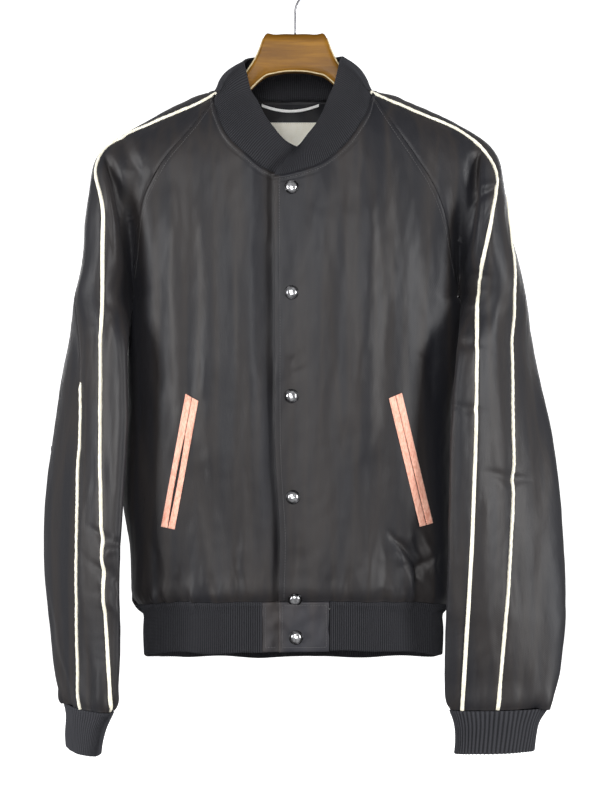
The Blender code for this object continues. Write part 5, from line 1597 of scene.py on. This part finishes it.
def woven_material(name, dark, light, roughness, sheen, scale):
    """A light cloth whose threads catch the light along its length."""
    looks = Looks(name, roughness, Sheen_Weight=sheen, Sheen_Roughness=0.5, Specular_IOR_Level=0.35)
    threads = looks.noise(looks.place, scale, 3.0)
    wear = looks.noise(looks.place, (140, 140, 60), 3.0)
    mixed = looks.math("ADD", looks.math("MULTIPLY", threads, 0.6), looks.math("MULTIPLY", wear, 0.4))
    looks.colour(looks.ramp(mixed, (0.36, dark), (0.62, light)))
    looks.rough(looks.spread(threads, roughness - 0.08, roughness + 0.1))
    weave = looks.lines(looks.cloth, 0.0008, "Y", 0.5)
    looks.raised(looks.math("ADD", weave, threads), 0.00012, 0.6)
    return looks.made


def thread_material(name, tone):
    """Twisted thread, with painted shade between its strands."""
    looks = Looks(name, 0.7, Sheen_Weight=0.2, Sheen_Roughness=0.5)
    strands = looks.noise(looks.place, (1500, 1500, 1500), 2.0)
    # a darker tone, three quarters of the thread's, for the painted shade between the strands
    low = [0.75 * part for part in tone]
    looks.colour(looks.ramp(strands, (0.35, low), (0.65, tone)))
    looks.raised(strands, 0.0001, 0.6)
    return looks.made


def wood_material():
    """Amber varnished wood with fine grain along the arms and darker pores."""
    looks = Looks("varnished wood", 0.4, Coat_Weight=0.08, Coat_Roughness=0.2, Coat_IOR=1.4,
                  Specular_IOR_Level=0.12)
    grain = looks.noise(looks.place, (9, 90, 110), 5.0, 0.6)
    figure = looks.noise(looks.place, (3, 22, 26), 3.0, 0.5)
    pores = looks.noise(looks.place, (70, 900, 900), 2.0)
    tone = looks.ramp(grain, (0.3, (0.085, 0.034, 0.002)), (0.5, (0.17, 0.074, 0.004)),
                      (0.72, (0.29, 0.135, 0.009)))
    tone = looks.mix(looks.spread(figure, 0.0, 0.7), tone, (0.17, 0.075, 0.008))
    tone = looks.mix(looks.spread(pores, -0.25, 0.35), tone, (0.07, 0.028, 0.006))
    looks.colour(tone)
    looks.rough(looks.spread(grain, 0.34, 0.5))
    looks.raised(looks.math("ADD", grain, pores), 0.0001, 0.5)
    return looks.made


def metal_material(name, dark, light, low, high):
    """Plated metal with faint polishing marks and small dull patches."""
    looks = Looks(name, low, Metallic=1.0)
    marks = looks.noise(looks.place, (1200, 300, 1200), 4.0, 0.6)
    dull = looks.noise(looks.place, (160, 160, 160), 3.0)
    looks.colour(looks.ramp(dull, (0.35, dark), (0.65, light)))
    looks.rough(looks.spread(marks, low, high))
    looks.raised(marks, 0.00002, 0.5)
    return looks.made


def pearl_material():
    """Glossy dark cap under a clear coat, with a cloudy pearl layer."""
    looks = Looks("dark pearl", 0.16, Coat_Weight=0.6, Coat_Roughness=0.03, Coat_IOR=1.55,
                  Metallic=0.9, Specular_IOR_Level=0.6)
    cloud = looks.noise(looks.place, (260, 260, 260), 3.0, 0.6)
    looks.colour(looks.ramp(cloud, (0.35, (0.20, 0.20, 0.21)), (0.6, (0.62, 0.62, 0.64))))
    looks.rough(looks.spread(cloud, 0.14, 0.26))
    looks.raised(cloud, 0.00003, 0.3)
    return looks.made


def ground_material():
    """Plain white studio paper with a very faint tooth."""
    looks = Looks("studio white", 0.9, Specular_IOR_Level=0.1, Emission_Strength=0.9,
                  Emission_Color=(1.0, 1.0, 1.0, 1.0))
    tooth = looks.noise(looks.place, (300, 300, 300), 2.0)
    looks.colour(looks.ramp(tooth, (0.3, (0.88, 0.88, 0.88)), (0.7, (0.9, 0.9, 0.9))))
    looks.raised(tooth, 0.0002, 0.2)
    return looks.made


def make_materials():
    """Every material, by a short name."""
    made = {
        "satin": satin_material("charcoal satin", 1.0),
        # a copy of the satin at twice the brightness for the hem tabs: painted light
        "tab satin painted lighter": satin_material("tab satin painted lighter", 2.0),
        "knit": knit_material("black knit", 1.0),
        # a copy of the knit at 1.35 times the brightness for the cuffs: painted light
        "cuff knit painted lighter": knit_material("cuff knit painted lighter", 1.35),
        "silver": metal_material("silver ring", (0.012, 0.012, 0.013), (0.05, 0.05, 0.052), 0.12, 0.24),
        "steel": metal_material("dark steel", (0.10, 0.10, 0.11), (0.20, 0.20, 0.21), 0.25, 0.42),
        "pearl": pearl_material(),
        "wood": wood_material(),
        "thread": thread_material("dark thread", (0.060, 0.058, 0.060)),
        "pale thread": thread_material("pale thread", (0.70, 0.66, 0.55)),
    }
    for short, name, dark, light, roughness, sheen, scale in (
            ("cream", "cream satin", (0.74, 0.69, 0.55), (0.94, 0.90, 0.77), 0.5, 0.3, (700, 700, 200)),
            ("salmon", "salmon satin", (0.70, 0.28, 0.195), (0.95, 0.54, 0.41), 0.55, 0.25, (700, 700, 260)),
            ("label", "cream label", (0.93, 0.89, 0.76), (0.99, 0.97, 0.88), 0.7, 0.2, (900, 900, 900)),
            ("white", "white tape", (0.70, 0.70, 0.70), (0.86, 0.86, 0.85), 0.7, 0.1, (900, 900, 900)),
            # pale colour for the strips of painted highlight along the hanger's edges
            ("edge", "painted edge highlight", (0.42, 0.34, 0.19), (0.58, 0.48, 0.30), 0.5, 0.0, (300, 300, 300))):
        made[short] = woven_material(name, dark, light, roughness, sheen, scale)
    return made


# ---- the stage, in metres ------------------------------------------------------------------------
FLOOR_RADIUS = 5.6
FLOOR_CURVE = 1.6       # radius of the bend from the floor into the wall
FLOOR_LEVEL = -1.25
FLOOR_SIDES = 72
WALL_HEIGHT = 6.5
LIGHTS = (              # name, place, what it points at, size and watts
    ("left_bank", (-2.7, -1.2, -0.2), (0, 0, -0.5), (0.9, 1.7), 74),
    ("right_bank", (2.6, -1.1, -0.3), (0, 0, -0.5), (0.9, 1.7), 74),
    ("front_bank", (-0.4, -2.9, 0.2), (0, 0, -0.5), (1.0, 0.9), 46),
    ("low_bank", (0.2, -2.7, -0.95), (0, 0, -0.6), (1.2, 0.4), 16),
    ("back_left_bank", (-1.2, 3.0, 0.3), (0, 0, -0.5), (1.0, 1.2), 17),
    ("back_right_bank", (1.2, 3.0, 0.3), (0, 0, -0.5), (1.0, 1.2), 17),
)
SKY = 0.30              # strength of the even light from all round
CAMERA_PLACE = (0.0057, -2.4, -0.510)
LENS = 92.52            # millimetres


def make_stage():
    """A plain white floor, a wide bowl that curves up into a wall all round."""
    wall = FLOOR_RADIUS + FLOOR_CURVE
    profile = [(0.02, 0.0), (FLOOR_RADIUS, 0.0)]
    for angle in np.linspace(0, np.pi / 2, 14)[1:]:
        profile.append((FLOOR_RADIUS + FLOOR_CURVE * np.sin(angle), FLOOR_CURVE * (1 - np.cos(angle))))
    profile.append((wall, WALL_HEIGHT))
    points = [(radius * np.cos(a), radius * np.sin(a), height + FLOOR_LEVEL)
              for radius, height in profile for a in circle(FLOOR_SIDES)]
    faces = grid_quads(len(profile), FLOOR_SIDES, ring=True).tolist()
    faces.append(list(range(FLOOR_SIDES - 1, -1, -1)))
    floor = add_mesh("studio_floor", points, faces, ground_material())
    floor.visible_diffuse = False
    floor.visible_glossy = False


def add_light(name, place, target, size, power):
    """A soft white bank of light that the camera doesn't see."""
    lamp = bpy.data.lights.new(name, "AREA")
    lamp.shape = "RECTANGLE"
    lamp.size, lamp.size_y = size
    lamp.energy = power
    made = add_object(name, lamp)
    made.visible_camera = False
    made.location = place
    made.rotation_euler = (Vector(target) - Vector(place)).to_track_quat("-Z", "Y").to_euler()


def make_light():
    """An even white sky and the soft banks."""
    world = bpy.data.worlds.new("studio")
    world.use_nodes = True
    back = world.node_tree.nodes["Background"]
    back.inputs["Color"].default_value = (1.0, 1.0, 1.0, 1.0)
    back.inputs["Strength"].default_value = SKY
    bpy.context.scene.world = world
    for row in LIGHTS:
        add_light(*row)
    bpy.context.scene.view_settings.view_transform = "Standard"


def make_camera():
    """Level with the jacket's middle, at the photograph's distance."""
    data = bpy.data.cameras.new("camera")
    data.sensor_width = 36.0
    data.lens = LENS
    data.clip_start, data.clip_end = 0.05, 40.0
    made = add_object("camera", data)
    made.location = CAMERA_PLACE
    made.rotation_euler = (np.pi / 2, 0, 0)
    bpy.context.scene.camera = made


def declare_cloth(cloth, pipings, fold, welts, stitches, loop):
    """Works out what is sewn on the fronts, the back and the sleeves, and does nothing more with it."""
    for key, piece in cloth.items():
        side, name = key if key != "back" else (None, "back")
        beside = {
            "front": welts.get(side, []) + ([stitches] if side == LEFT else []),
            "back": [loop],
            "sleeve_top": [pipings[side, place] for place in ("front", "back")] if side else [],
        }.get(name, [])
        if (side, name) == (RIGHT, "sleeve_top"):
            beside = beside + [fold]


def main():
    make_camera()
    looks = make_materials()
    panels = make_panels()
    cloth = make_cloth(panels, looks)
    pipings = make_pipings(panels, looks)
    fold = make_fold(panels, looks)
    collar = make_collar(panels, looks)
    trims = make_hem(panels, looks)
    cuffs = make_cuffs(looks)
    fronts = Surface([cloth[LEFT, "front"], cloth[RIGHT, "front"], trims[LEFT], trims[RIGHT]])
    stitches = make_stitches(panels, fronts, looks)
    welts = make_welts(fronts, looks)
    make_snaps(fronts, looks)
    facing = make_facing(looks)
    label, seams = make_label(looks)
    loop = make_loop(looks)
    make_hanger(looks)
    make_stage()
    make_light()
    declare_cloth(cloth, pipings, fold, welts, stitches, loop)


main()
